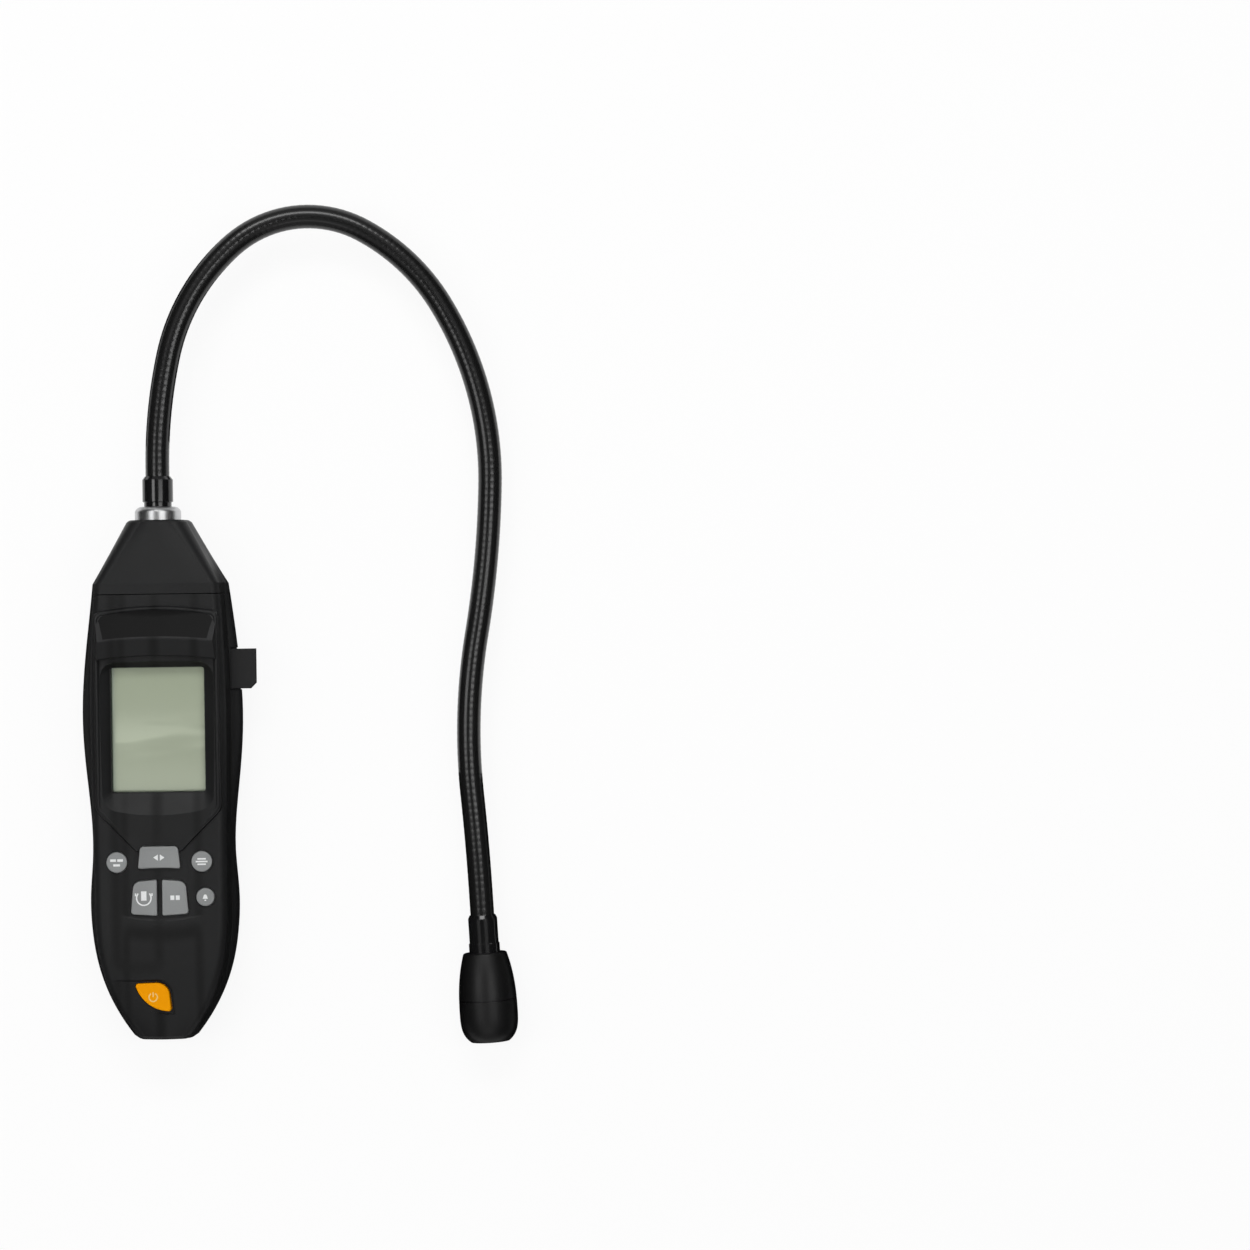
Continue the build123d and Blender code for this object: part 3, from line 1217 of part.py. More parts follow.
def filter_disc():
    """Perforated metal disc behind the gas inlet, with its holes in a hexagon grid."""
    disc = extrude(Circle(INLET_RADIUS + FILTER_LEDGE), FILTER_THICK)
    rows = range(-3, 4)
    holes = [
        Pos(FILTER_PITCH * (column + row / 2), FILTER_PITCH * row * 3**0.5 / 2)
        for row in rows
        for column in rows
        if abs(column + row) <= 3
    ]
    pattern = Sketch() + [place * Circle(FILTER_HOLE_RADIUS) for place in holes]
    disc -= extrude(pattern, FILTER_THICK)
    return probe_place() * Pos(0, 0, filter_z()) * disc


def sensor():
    """Gas sensor: a metal can on a wider flange, facing the filter."""
    high = filter_z() - SENSOR_GAP
    can = extrude(Circle(SENSOR_RADIUS), SENSOR_LENGTH)
    can = fillet(can.edges().sort_by(Axis.Z)[-1], 0.8)
    can += extrude(Circle(SENSOR_FLANGE_RADIUS), SENSOR_FLANGE)
    return probe_place() * Pos(0, 0, high - SENSOR_LENGTH) * can


def socket_z():
    """Place of the sensor socket's near face along the probe."""
    return filter_z() - SENSOR_GAP - SENSOR_LENGTH - SOCKET_THICK - STACK_GAP


def sensor_socket():
    """Moulded socket that holds the sensor, with solder pins on its back."""
    body = extrude(Circle(SOCKET_RADIUS), SOCKET_THICK)
    for index in range(SOCKET_PINS):
        angle = 2 * pi * index / SOCKET_PINS
        pin = Cylinder(SOCKET_PIN_RADIUS, 2.4)
        body += Pos(SOCKET_PIN_RING * cos(angle), SOCKET_PIN_RING * sin(angle), -1.0) * pin
    arms = Box(2 * (lap_radius() - PROBE_LAP_WALL - 0.25), 3.0, SOCKET_ARM)
    body += Pos(0, 0, SOCKET_ARM / 2) * arms
    return probe_place() * Pos(0, 0, socket_z()) * body


def neck_parts():
    """Sleeve, wound spring and lead, one inside the other along the same line."""
    sleeve_bore = NECK_RADIUS - SLEEVE_WALL
    spring_radius = sleeve_bore - NECK_FIT
    spring_back = FERRULE_LENGTH + COLLAR_RIM + COLLAR_DOME + COLLAR_SHANK
    lead_back = NECK_Y - (BOARD_NOSE_Y + 2.2 + PLUG_LENGTH - 2.0) - 0.1
    lead_ahead = HEAD_FERRULE_LENGTH + socket_z() - 0.3
    return {
        "gooseneck_sleeve": neck_tube(NECK_RADIUS, sleeve_bore, NECK_GRIP, NECK_GRIP),
        "gooseneck_spring": neck_tube(spring_radius, spring_radius - SPRING_WALL, spring_back, NECK_GRIP),
        "probe_lead": neck_tube(LEAD_RADIUS, 0.0, lead_back, lead_ahead),
    }


def main():
    """Builds every piece, writes one STEP file for each and prints the neck's length."""
    parts = {
        "front_shell": front_shell(),
        "nose_cover": nose_cover(),
        "rear_shell": rear_shell(),
        "battery_cover": battery_cover(),
        "port_cover": port_cover(),
        "charging_jack": jack(),
        "main_board": board(),
        "display_window": window(),
        "display_panel": display_panel(),
        "display_backlight": backlight(),
        "display_holder": display_holder(),
        "controller_chip": chip(),
        "sounder": sounder(),
        "lead_header": header(),
        "lead_plug": lead_plug(),
        "contacts_nose_end": cell_contacts(1),
        "contacts_tail_end": cell_contacts(-1),
        "case_screws": case_screws(),
        "board_screws": board_screws(),
        "cover_screw": cover_screw(),
        "collar": collar(),
        "collar_nut": collar_nut(),
        "casing_ferrule": casing_ferrule(),
        "probe_ferrule": probe_ferrule(),
        "probe_body": probe_body(),
        "probe_cap": probe_cap(),
        "probe_seal": probe_seal(),
        "filter_disc": filter_disc(),
        "gas_sensor": sensor(),
        "sensor_socket": sensor_socket(),
    }
    for index in range(CELL_COUNT):
        parts[f"battery_cell_{index + 1}"] = cell(index)
    for name in KEYS:
        parts[name] = key(name)
        parts[name.replace("key_", "switch_")] = tactile_switch(name)
    parts.update(neck_parts())
    os.makedirs("parts", exist_ok=True)
    for name, solid in parts.items():
        export_step(solid, f"parts/{name}.step")
    print("visible gooseneck length", round(neck_path().length, 1))
    print("probe end", probe_place() * Pos(0, 0, PROBE_LENGTH))
    print("nodes", len(parts))


main()
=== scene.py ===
"""Looks of a hand-held gas leak detector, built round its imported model.

The casing, its covers, the keys, the collar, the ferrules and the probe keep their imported
shapes and get moulded, plated and painted finishes. The gooseneck is made again with the ribs
of the spring under its sleeve. The display's surround gets a thin rim, the brow a dark plate,
and the keys their printed signs.
"""

import logging
import math
from dataclasses import dataclass, field, replace
from enum import Enum

import bmesh
import bpy
from mathutils import Matrix, Vector
from mathutils.bvhtree import BVHTree


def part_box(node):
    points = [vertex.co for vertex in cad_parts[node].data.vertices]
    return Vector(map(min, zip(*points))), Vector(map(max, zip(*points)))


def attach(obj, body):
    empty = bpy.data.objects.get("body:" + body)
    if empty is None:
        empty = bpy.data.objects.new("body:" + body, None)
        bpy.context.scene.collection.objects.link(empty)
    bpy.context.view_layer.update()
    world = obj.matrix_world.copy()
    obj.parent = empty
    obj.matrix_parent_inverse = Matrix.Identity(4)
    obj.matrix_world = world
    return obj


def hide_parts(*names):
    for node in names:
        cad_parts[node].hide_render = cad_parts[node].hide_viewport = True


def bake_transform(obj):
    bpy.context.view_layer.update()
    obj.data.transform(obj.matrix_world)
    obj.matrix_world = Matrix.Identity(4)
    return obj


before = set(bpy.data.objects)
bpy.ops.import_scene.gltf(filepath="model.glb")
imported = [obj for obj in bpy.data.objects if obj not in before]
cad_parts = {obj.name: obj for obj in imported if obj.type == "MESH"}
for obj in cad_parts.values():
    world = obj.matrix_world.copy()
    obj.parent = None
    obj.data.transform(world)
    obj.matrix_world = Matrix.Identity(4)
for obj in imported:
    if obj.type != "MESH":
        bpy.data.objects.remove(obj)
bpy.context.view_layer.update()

log = logging.getLogger("detector")
MM = 0.001
Triple = tuple[float, float, float]
Colour = Triple
WHITE: Colour = (1.0, 1.0, 1.0)


# Shader maths


class Varying:
    """A value that varies over a surface, used in plain sums and products."""

    def __init__(self, tree: "Nodes", socket: bpy.types.NodeSocket) -> None:
        """Keeps the node tree and the socket that the value comes from."""
        self.tree = tree
        self.socket = socket

    def _math(self, operation: str, *others: "Varying | float", clamp: bool = False) -> "Varying":
        """Adds one Math node.

        Args:
            operation: the Math node's operation.
            others: the values after this one.
            clamp: whether the result stays from 0 to 1.

        Returns:
            The node's result.
        """
        settings = {"operation": operation, "use_clamp": clamp}
        node = self.tree.node("ShaderNodeMath", settings, dict(enumerate((self, *others))))
        return Varying(self.tree, node.outputs[0])

    def __add__(self, other: "Varying | float") -> "Varying":
        """Sum."""
        return self._math("ADD", other)

    def __radd__(self, other: float) -> "Varying":
        """Sum with a plain number in front."""
        return self._math("ADD", other)

    def __sub__(self, other: "Varying | float") -> "Varying":
        """Difference."""
        return self._math("SUBTRACT", other)

    def __rsub__(self, other: float) -> "Varying":
        """Difference from a plain number."""
        return self._math("MULTIPLY_ADD", -1.0, other)

    def __mul__(self, other: "Varying | float") -> "Varying":
        """Product."""
        return self._math("MULTIPLY", other)

    def __rmul__(self, other: float) -> "Varying":
        """Product with a plain number in front."""
        return self._math("MULTIPLY", other)

    def __truediv__(self, other: "Varying | float") -> "Varying":
        """Quotient."""
        return self._math("DIVIDE", other)

    def clamped(self) -> "Varying":
        """The value, kept from 0 to 1."""
        return self._math("ADD", 0.0, clamp=True)

    def size(self) -> "Varying":
        """The value without its sign."""
        return self._math("ABSOLUTE")

    def wave(self) -> "Varying":
        """Sine of the value."""
        return self._math("SINE")

    def or_more(self, other: "Varying | float") -> "Varying":
        """The larger of two values."""
        return self._math("MAXIMUM", other)

    def step(self, low: float, high: float) -> "Varying":
        """Smooth step from 0 at low to 1 at high.

        Args:
            low: where the step begins.
            high: where it ends, which may lie below low.

        Returns:
            A value from 0 to 1.
        """
        sign = 1.0 if high > low else -1.0
        settings = {"interpolation_type": "SMOOTHSTEP"}
        inputs = {"Value": self * sign, "From Min": low * sign, "From Max": high * sign}
        return Varying(self.tree, self.tree.node("ShaderNodeMapRange", settings, inputs).outputs[0])


class Nodes:
    """A node tree that is filled anew."""

    def __init__(self, tree: bpy.types.NodeTree) -> None:
        """Empties the tree."""
        self.tree = tree
        self.tree.nodes.clear()

    def node(self, kind: str, settings: dict | None = None, inputs: dict | None = None) -> bpy.types.Node:
        """Adds one node.

        Args:
            kind: the node's type.
            settings: its properties, which are set first; "stops" are a ramp's places and colours.
            inputs: the values or links of its sockets, by name or number.

        Returns:
            The new node.
        """
        node = self.tree.nodes.new(kind)
        for name, value in (settings or {}).items():
            if name == "stops":
                elements = node.color_ramp.elements
                while len(elements) < len(value):
                    elements.new(0.5)
                for element, (place, colour) in zip(elements, value):
                    element.position = place
                    element.color = (*colour, 1.0)
            else:
                setattr(node, name, value)
        for key, value in (inputs or {}).items():
            self.feed(node.inputs[key], value)
        return node

    def feed(self, socket: bpy.types.NodeSocket, value: object) -> None:
        """Links a varying value or an output to a socket, or sets the socket's own value.

        Args:
            socket: the socket.
            value: the varying value, the output, or a plain number or colour.
        """
        if isinstance(value, Varying):
            self.tree.links.new(value.socket, socket)
        elif isinstance(value, bpy.types.NodeSocket):
            self.tree.links.new(value, socket)
        elif isinstance(value, tuple) and len(value) == 3 and socket.type == "RGBA":
            socket.default_value = (*value, 1.0)
        else:
            socket.default_value = value


class Shader(Nodes):
    """One node material, built from expressions."""

    def __init__(self, name: str) -> None:
        """Makes an empty node material of that name."""
        self.material = bpy.data.materials.new(name)
        self.material.use_nodes = True
        super().__init__(self.material.node_tree)
        self.output = self.node("ShaderNodeOutputMaterial")
        self._place: bpy.types.NodeSocket | None = None

    def place(self) -> bpy.types.NodeSocket:
        """The surface point in the piece's own frame, in metres."""
        if self._place is None:
            self._place = self.node("ShaderNodeTexCoord").outputs["Object"]
        return self._place

    def axes(self) -> tuple[Varying, Varying, Varying]:
        """The surface point's three coordinates, in metres."""
        split = self.node("ShaderNodeSeparateXYZ", None, {0: self.place()})
        return tuple(Varying(self, split.outputs[i]) for i in range(3))

    def noise(self, size: float, detail: float = 2.0, stretch: Triple = WHITE) -> Varying:
        """Soft noise.

        Args:
            size: width of its spots, in metres.
            detail: number of finer layers on top.
            stretch: factors on the three axes, for noise drawn out along one of them.

        Returns:
            Values from 0 to 1.
        """
        drawn = self.node("ShaderNodeMapping", None, {"Vector": self.place(), "Scale": stretch}).outputs[0]
        inputs = {"Vector": drawn, "Scale": 1.0 / size, "Detail": detail}
        return Varying(self, self.node("ShaderNodeTexNoise", None, inputs).outputs["Fac"])

    def pits(self, size: float) -> Varying:
        """Distance to the nearest of many scattered points, as in a grained mould.

        Args:
            size: mean distance between the points, in metres.

        Returns:
            Values from 0, on a point, to about 1.
        """
        settings = {"feature": "SMOOTH_F1"}
        inputs = {"Vector": self.place(), "Scale": 1.0 / size, "Smoothness": 0.6}
        return Varying(self, self.node("ShaderNodeTexVoronoi", settings, inputs).outputs["Distance"])

    def edges(self, radius: float) -> Varying:
        """How sharply the surface turns nearby: 0 on flat ground, up to about 1 on an edge.

        Args:
            radius: how far it looks, in metres.

        Returns:
            A value from 0 to 1.
        """
        soft = self.node("ShaderNodeBevel", {"samples": 4}, {"Radius": radius}).outputs[0]
        true = self.node("ShaderNodeNewGeometry").outputs["Normal"]
        dot = self.node("ShaderNodeVectorMath", {"operation": "DOT_PRODUCT"}, {0: soft, 1: true})
        return (1.0 - Varying(self, dot.outputs["Value"])).step(0.01, 0.2)

    def mix(self, share: Varying, first: object, second: object) -> bpy.types.NodeSocket:
        """Mixes two colours.

        Args:
            share: 0 for the first, 1 for the second.
            first: colour or colour output.
            second: colour or colour output.

        Returns:
            The mixed colour's output.
        """
        settings = {"data_type": "RGBA", "clamp_factor": True}
        node = self.node("ShaderNodeMix", settings, {"Factor": share})
        self.feed(node.inputs[6], first)
        self.feed(node.inputs[7], second)
        return node.outputs[2]

    def bump(
        self, height: Varying, depth: float, under: bpy.types.NodeSocket | None = None,
    ) -> bpy.types.NodeSocket:
        """A bumped normal.

        Args:
            height: the relief, from 0 to 1.
            depth: the relief's depth, in metres.
            under: the normal of a relief that lies under this one.

        Returns:
            The normal's output.
        """
        inputs = {"Height": height, "Distance": depth, "Strength": 1.0}
        if under is not None:
            inputs["Normal"] = under
        return self.node("ShaderNodeBump", None, inputs).outputs[0]

    def finish(self, **sockets: object) -> bpy.types.Material:
        """Ends the material in one Principled shader.

        Args:
            sockets: its sockets, with underscores for spaces.

        Returns:
            The material.
        """
        inputs = {name.replace("_", " "): value for name, value in sockets.items()}
        shader = self.node("ShaderNodeBsdfPrincipled", None, inputs)
        self.tree.links.new(shader.outputs[0], self.output.inputs[0])
        return self.material


# Finishes


def shade(colour: Colour, factor: float) -> Colour:
    """A colour made darker or lighter by a factor."""
    return tuple(min(1.0, channel * factor) for channel in colour)


@dataclass(frozen=True)
class Crease:
    """A soft step in a moulded face, along a line across it that may sag in the middle.

    The line runs through the point x, y and is twice half long. The face is low on its nose's
    side where lower_side is 1, and on its tail's side where it is -1. Just past the line it
    stands up by depth, over width, and then sinks back over reach. Past the line's ends it
    stays high, so over fade each end leaves a faint band along the whole face. Where the relief
    changes, the face's colour is darkened as painted shade.
    """

    x: float
    y: float
    half: float
    sag: float
    width: float = 0.9 * MM
    depth: float = 0.3 * MM
    fade: float = 5.0 * MM
    # Strength of the painted shade where the relief changes.
    painted_shade: float = 3.4
    lower_side: float = 1.0
    reach: float = 9.0 * MM

    def height(self, s: Shader) -> Varying:
        """The step's relief, from 0 at its foot to 1."""
        x, y, _ = s.axes()
        across = (x - self.x) / self.half
        line = self.y - self.sag + across * across * self.sag
        past = (line - y) * self.lower_side
        ends = (x - self.x).size().step(self.half, self.half - self.fade)
        step = past.step(-self.width / 2, self.width / 2)
        back = past.step(self.width, self.reach)
        return 1.0 - (1.0 - step + back * step) * ends


@dataclass(frozen=True)
class Moulded:
    """Moulded plastic or rubber with mould grain, edges paled by wear and a painted highlight."""

    name: str
    colour: Colour
    roughness: float = 0.5
    grain: float = 0.30 * MM
    depth: float = 0.02 * MM
    # Strength of the paler edges, which are partly rubbed wear and partly a painted highlight.
    rub_and_sheen: float = 0.5
    sheen: float = 0.5
    creases: tuple[Crease, ...] = ()

    def build(self) -> bpy.types.Material:
        """The finish as a material."""
        s = Shader(self.name)
        cloud = s.noise(22 * MM, 3.0)
        smudge = s.noise(7 * MM, 4.0)
        grain = s.pits(self.grain)
        edge = s.edges(0.5 * MM) * self.rub_and_sheen
        base = s.mix(cloud.step(0.3, 0.7), shade(self.colour, 0.90), shade(self.colour, 1.10))
        base = s.mix(grain * 0.5, base, shade(self.colour, 0.82))
        # Paler edges: partly rubbed wear, partly a painted highlight.
        base = s.mix(edge * 0.5, base, shade(self.colour, 1.9))
        rough = self.roughness + (smudge - 0.5) * 0.12 + (grain - 0.5) * 0.06 - edge * 0.08
        relief = grain * 0.75 + s.noise(0.9 * MM, 2.0) * 0.25
        normal = s.bump(relief, self.depth)
        for crease in self.creases:
            height = crease.height(s)
            # Painted shade: each crease darkens the colour where its relief changes.
            base = s.mix((1.0 - height) * height * crease.painted_shade, base, shade(self.colour, 0.35))
            normal = s.bump(height, crease.depth, normal)
        return s.finish(
            Base_Color=base, Roughness=rough.clamped(), Normal=normal, Specular_IOR_Level=self.sheen,
        )


@dataclass(frozen=True)
class Plated:
    """Polished or brushed metal with fine turning marks and light haze."""

    name: str
    colour: Colour
    roughness: float = 0.12
    marks: float = 0.12 * MM
    depth: float = 0.001 * MM
    haze: float = 0.08

    def build(self) -> bpy.types.Material:
        """The finish as a material."""
        s = Shader(self.name)
        lines = s.noise(self.marks, 3.0, (0.08, 1.0, 0.08))
        haze = s.noise(3 * MM, 4.0)
        base = s.mix(haze.step(0.35, 0.75), self.colour, shade(self.colour, 0.86))
        rough = self.roughness + (haze - 0.5) * self.haze + (lines - 0.5) * 0.05
        return s.finish(
            Base_Color=base, Metallic=1.0, Roughness=rough.clamped(), Normal=s.bump(lines, self.depth),
        )


@dataclass(frozen=True)
class Painted:
    """Gloss paint or a shrunk sleeve: a dark skin with soft unevenness and dust."""

    name: str
    colour: Colour
    roughness: float = 0.25
    orange_peel: float = 2.4 * MM
    depth: float = 0.0002 * MM
    coat: float = 0.3
    sheen: float = 0.35
    dust: Colour = (0.25, 0.24, 0.22)

    def build(self) -> bpy.types.Material:
        """The finish as a material."""
        s = Shader(self.name)
        peel = s.noise(self.orange_peel, 2.0)
        dust = s.noise(0.35 * MM, 4.0).step(0.66, 0.82)
        worn = s.noise(9 * MM, 4.0)
        base = s.mix(dust * 0.02, self.colour, self.dust)
        rough = self.roughness + (worn - 0.5) * 0.06 + dust * 0.03
        return s.finish(
            Base_Color=base, Roughness=rough.clamped(), Coat_Weight=self.coat, Coat_Roughness=0.12,
            Normal=s.bump(peel, self.depth), Specular_IOR_Level=self.sheen,
        )


@dataclass(frozen=True)
class DisplayFace:
    """Display glass: pale grey-green with painted light and reflection, its dark rim partly painted shade."""

    name: str
    field: Colour = (0.585, 0.578, 0.470)
    # Lighter colour towards the bottom of the field: painted light.
    field_low: Colour = (0.715, 0.690, 0.605)
    strip: Colour = (0.66, 0.66, 0.60)
    # Border colour: partly the glass's own dark edge, partly painted shade under the window's frame.
    rim: Colour = (0.045, 0.06, 0.045)
    half_width: float = 16.1 * MM
    half_length: float = 21.7 * MM
    rim_blur: float = 0.5 * MM
    strip_from: float = 14.9 * MM
    # Where the band of painted reflection lies across the field.
    band_drop: float = 4.0 * MM
    band_reach: float = 13.0 * MM

    def build(self) -> bpy.types.Material:
        """The finish as a material."""
        s = Shader(self.name)
        low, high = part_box("display_window")
        centre = (low + high) / 2
        x, y, _ = s.axes()
        across = (x - centre.x).size().step(self.half_width, self.half_width + self.rim_blur)
        along = (y - centre.y).size().step(self.half_length, self.half_length + self.rim_blur)
        grit = s.noise(0.16 * MM, 2.0)
        # Painted light: the field is lighter towards the bottom, from field_low there to field at the top.
        painted_light_gradient = ((y - low.y) / (high.y - low.y)).clamped()
        # Painted reflection: soft lighter patches, and darker ones of painted shade, in a band across the
        # middle.
        painted_reflection_drift = s.noise(16 * MM, 2.0, (0.28, 1.5, 1.0))
        band = (y - centre.y + self.band_drop).size().step(self.band_reach, 0.0)
        pale = s.mix(painted_light_gradient, self.field_low, self.field)
        pale = s.mix(painted_reflection_drift.step(0.46, 0.58) * band, pale, shade(self.field_low, 1.18))
        pale = s.mix(painted_reflection_drift.step(0.50, 0.36) * band * 0.45, pale, shade(self.field, 0.86))
        pale = s.mix((x - centre.x).step(-self.strip_from, -self.half_width), pale, self.strip)
        pale = s.mix(grit * 0.2, pale, shade(self.field, 0.93))
        # Dark border: partly the glass's own edge, partly painted shade under the window's frame.
        base = s.mix(across.or_more(along), pale, self.rim)
        return s.finish(
            Base_Color=base, Roughness=0.32 + grit * 0.1, Normal=s.bump(grit, 0.0005 * MM),
        )


@dataclass(frozen=True)
class ClearCover:
    """Clear hard-coated plastic: see-through, with a reflection that grows at low angles."""

    name: str
    tint: Colour = (0.93, 0.96, 0.93)
    depths: Colour = (0.02, 0.02, 0.02)

    def build(self) -> bpy.types.Material:
        """The finish as a material."""
        s = Shader(self.name)
        film = s.noise(6 * MM, 3.0)
        clear = s.node("ShaderNodeBsdfTransparent", None, {"Color": self.tint}).outputs[0]
        gloss = s.node("ShaderNodeBsdfPrincipled", None, {
            "Base Color": self.depths, "Roughness": 0.05 + film * 0.06,
        }).outputs[0]
        facing = Varying(s, s.node("ShaderNodeLayerWeight", None, {"Blend": 0.25}).outputs["Fresnel"])
        share = (facing * 0.55 + 0.02).clamped()
        mixed = s.node("ShaderNodeMixShader", None, {0: share, 1: clear, 2: gloss})
        s.tree.links.new(mixed.outputs[0], s.output.inputs[0])
        return s.material


@dataclass(frozen=True)
class Print:
    """Ink of the signs on the keys."""

    name: str
    colour: Colour

    def build(self) -> bpy.types.Material:
        """The finish as a material."""
        s = Shader(self.name)
        thin = s.noise(0.5 * MM, 3.0)
        base = s.mix(thin.step(0.25, 0.8), shade(self.colour, 0.9), self.colour)
        return s.finish(Base_Color=base, Roughness=0.5 + (thin - 0.5) * 0.2, Normal=s.bump(thin, 0.004 * MM))


@dataclass(frozen=True)
class Board:
    """Green solder resist over copper tracks."""

    name: str
    resist: Colour = (0.012, 0.11, 0.045)
    pitch: float = 1.27 * MM

    def build(self) -> bpy.types.Material:
        """The finish as a material."""
        s = Shader(self.name)
        x, y, _ = s.axes()
        wander = s.noise(6 * MM, 1.0) * 4.0
        across = (x * (2 * math.pi / self.pitch) + wander).wave().step(0.2, 0.5)
        routed = s.noise(9 * MM, 0.0).step(0.48, 0.52)
        track = across * routed
        base = s.mix(track, self.resist, shade(self.resist, 1.9))
        return s.finish(
            Base_Color=base, Roughness=0.35 + s.noise(2 * MM, 3.0) * 0.15, Normal=s.bump(track, 0.03 * MM),
        )


# Meshes


def add_piece(
    name: str, mesh: bmesh.types.BMesh, material: bpy.types.Material, smooth: bool = True,
) -> bpy.types.Object:
    """Turns a mesh being edited into a piece of the scene.

    Args:
        name: the piece's name.
        mesh: the edited mesh, which is used up.
        material: its finish.
        smooth: whether its faces are shaded smooth.

    Returns:
        The new object, at the origin.
    """
    bmesh.ops.recalc_face_normals(mesh, faces=mesh.faces)
    data = bpy.data.meshes.new(name)
    mesh.to_mesh(data)
    mesh.free()
    data.materials.append(material)
    data.polygons.foreach_set("use_smooth", [smooth] * len(data.polygons))
    piece = bpy.data.objects.new(name, data)
    bpy.context.scene.collection.objects.link(piece)
    return piece


def dress(material: bpy.types.Material, *nodes: str) -> None:
    """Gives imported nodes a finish.

    Args:
        material: the finish.
        nodes: the nodes' names.
    """
    for name in nodes:
        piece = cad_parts[name]
        if not piece.material_slots:
            piece.data.materials.append(material)
        for slot in piece.material_slots:
            slot.material = material


def slab(mesh: bmesh.types.BMesh, outline: list[Vector], low: float, high: float) -> None:
    """Adds a flat plate of an outline in plan.

    Args:
        mesh: the mesh that gets it.
        outline: points of the outline, in order.
        low: height of its underside.
        high: height of its top.
    """
    lower = [mesh.verts.new((p.x, p.y, low)) for p in outline]
    upper = [mesh.verts.new((p.x, p.y, high)) for p in outline]
    count = len(outline)
    for i in range(count):
        j = (i + 1) % count
        mesh.faces.new((lower[i], lower[j], upper[j], upper[i]))
    mesh.faces.new(upper)
    mesh.faces.new(lower[::-1])


def ring_slab(mesh: bmesh.types.BMesh, centre: Vector, inner: float, outer: float, start: float, end: float,
              low: float, high: float) -> None:
    """Adds a flat ring, or a part of one.

    Args:
        mesh: the mesh that gets it.
        centre: its centre in plan.
        inner: inner radius.
        outer: outer radius.
        start: angle where it begins, in degrees from +X.
        end: angle where it ends.
        low: height of its underside.
        high: height of its top.
    """
    steps = max(6, round(abs(end - start) / 10))
    closed = abs(end - start) >= 360
    turns = [math.radians(start + (end - start) * i / steps) for i in range(steps + (0 if closed else 1))]
    rows = []
    for angle in turns:
        out = Vector((math.cos(angle), math.sin(angle)))
        rows.append([
            mesh.verts.new((centre.x + out.x * radius, centre.y + out.y * radius, z))
            for radius, z in ((inner, low), (outer, low), (outer, high), (inner, high))
        ])
    pairs = list(zip(rows, rows[1:])) + ([(rows[-1], rows[0])] if closed else [])
    for first, second in pairs:
        for k in range(4):
            mesh.faces.new((first[k], first[(k + 1) % 4], second[(k + 1) % 4], second[k]))
    if not closed:
        mesh.faces.new(rows[0])
        mesh.faces.new(rows[-1][::-1])


def softened(corners: list[tuple[Vector, float]], steps: int = 6) -> list[Vector]:
    """An open line of plan points with its corners rounded.

    Args:
        corners: each corner and its radius, which is 0 for a sharp one.
        steps: parts of each rounded corner.

    Returns:
        The line's points.
    """
    points = []
    for i, (corner, radius) in enumerate(corners):
        if not radius:
            points.append(corner)
            continue
        before = (corners[i - 1][0] - corner).normalized()
        after = (corners[i + 1][0] - corner).normalized()
        half_angle = before.angle(after) / 2
        middle = corner + (before + after).normalized() * (radius / math.sin(half_angle))
        reach = radius / math.tan(half_angle)
        first, last = corner + before * reach - middle, corner + after * reach - middle
        turn = first.angle_signed(last)
        for k in range(steps + 1):
            spoke = first.copy()
            spoke.rotate(Matrix.Rotation(-turn * k / steps, 2))
            points.append(middle + spoke)
    return points


# Sub-assemblies


@dataclass
class Casing:
    """Front shell, nose cover, rear shell, battery cover and what closes them."""

    plastic: Moulded = Moulded("casing_plastic", (0.0122, 0.0125, 0.0129), roughness=0.48, sheen=0.26)
    creases: tuple[Crease, ...] = (
        Crease(x=0.8 * MM, y=-47.4 * MM, half=15.4 * MM, sag=2.0 * MM),
        Crease(x=-8.0 * MM, y=-70.6 * MM, half=10.5 * MM, sag=0.2 * MM, width=0.7 * MM, depth=0.5 * MM,
               lower_side=-1.0, fade=6.0 * MM),
    )
    rubber: Moulded = Moulded("port_rubber", (0.012, 0.012, 0.0125), roughness=0.58, rub_and_sheen=0.3, sheen=0.3)
    dark: Moulded = Moulded("inner_black", (0.012, 0.012, 0.013), roughness=0.55, rub_and_sheen=0.2)
    screw: Plated = Plated("screw_steel", (0.42, 0.42, 0.43), roughness=0.32)

    def build(self) -> None:
        """Dresses the shells, the port cover and the screws."""
        dress(self.plastic.build(), "nose_cover", "rear_shell", "battery_cover")
        dress(replace(self.plastic, name="front_plastic", creases=self.creases).build(), "front_shell")
        dress(self.rubber.build(), "port_cover")
        dress(self.screw.build(), "case_screws", "board_screws", "cover_screw")
        inner = ("charging_jack", "display_holder", "controller_chip", "sounder", "sensor_socket")
        dress(self.dark.build(), *inner)
        log.info("casing dressed")


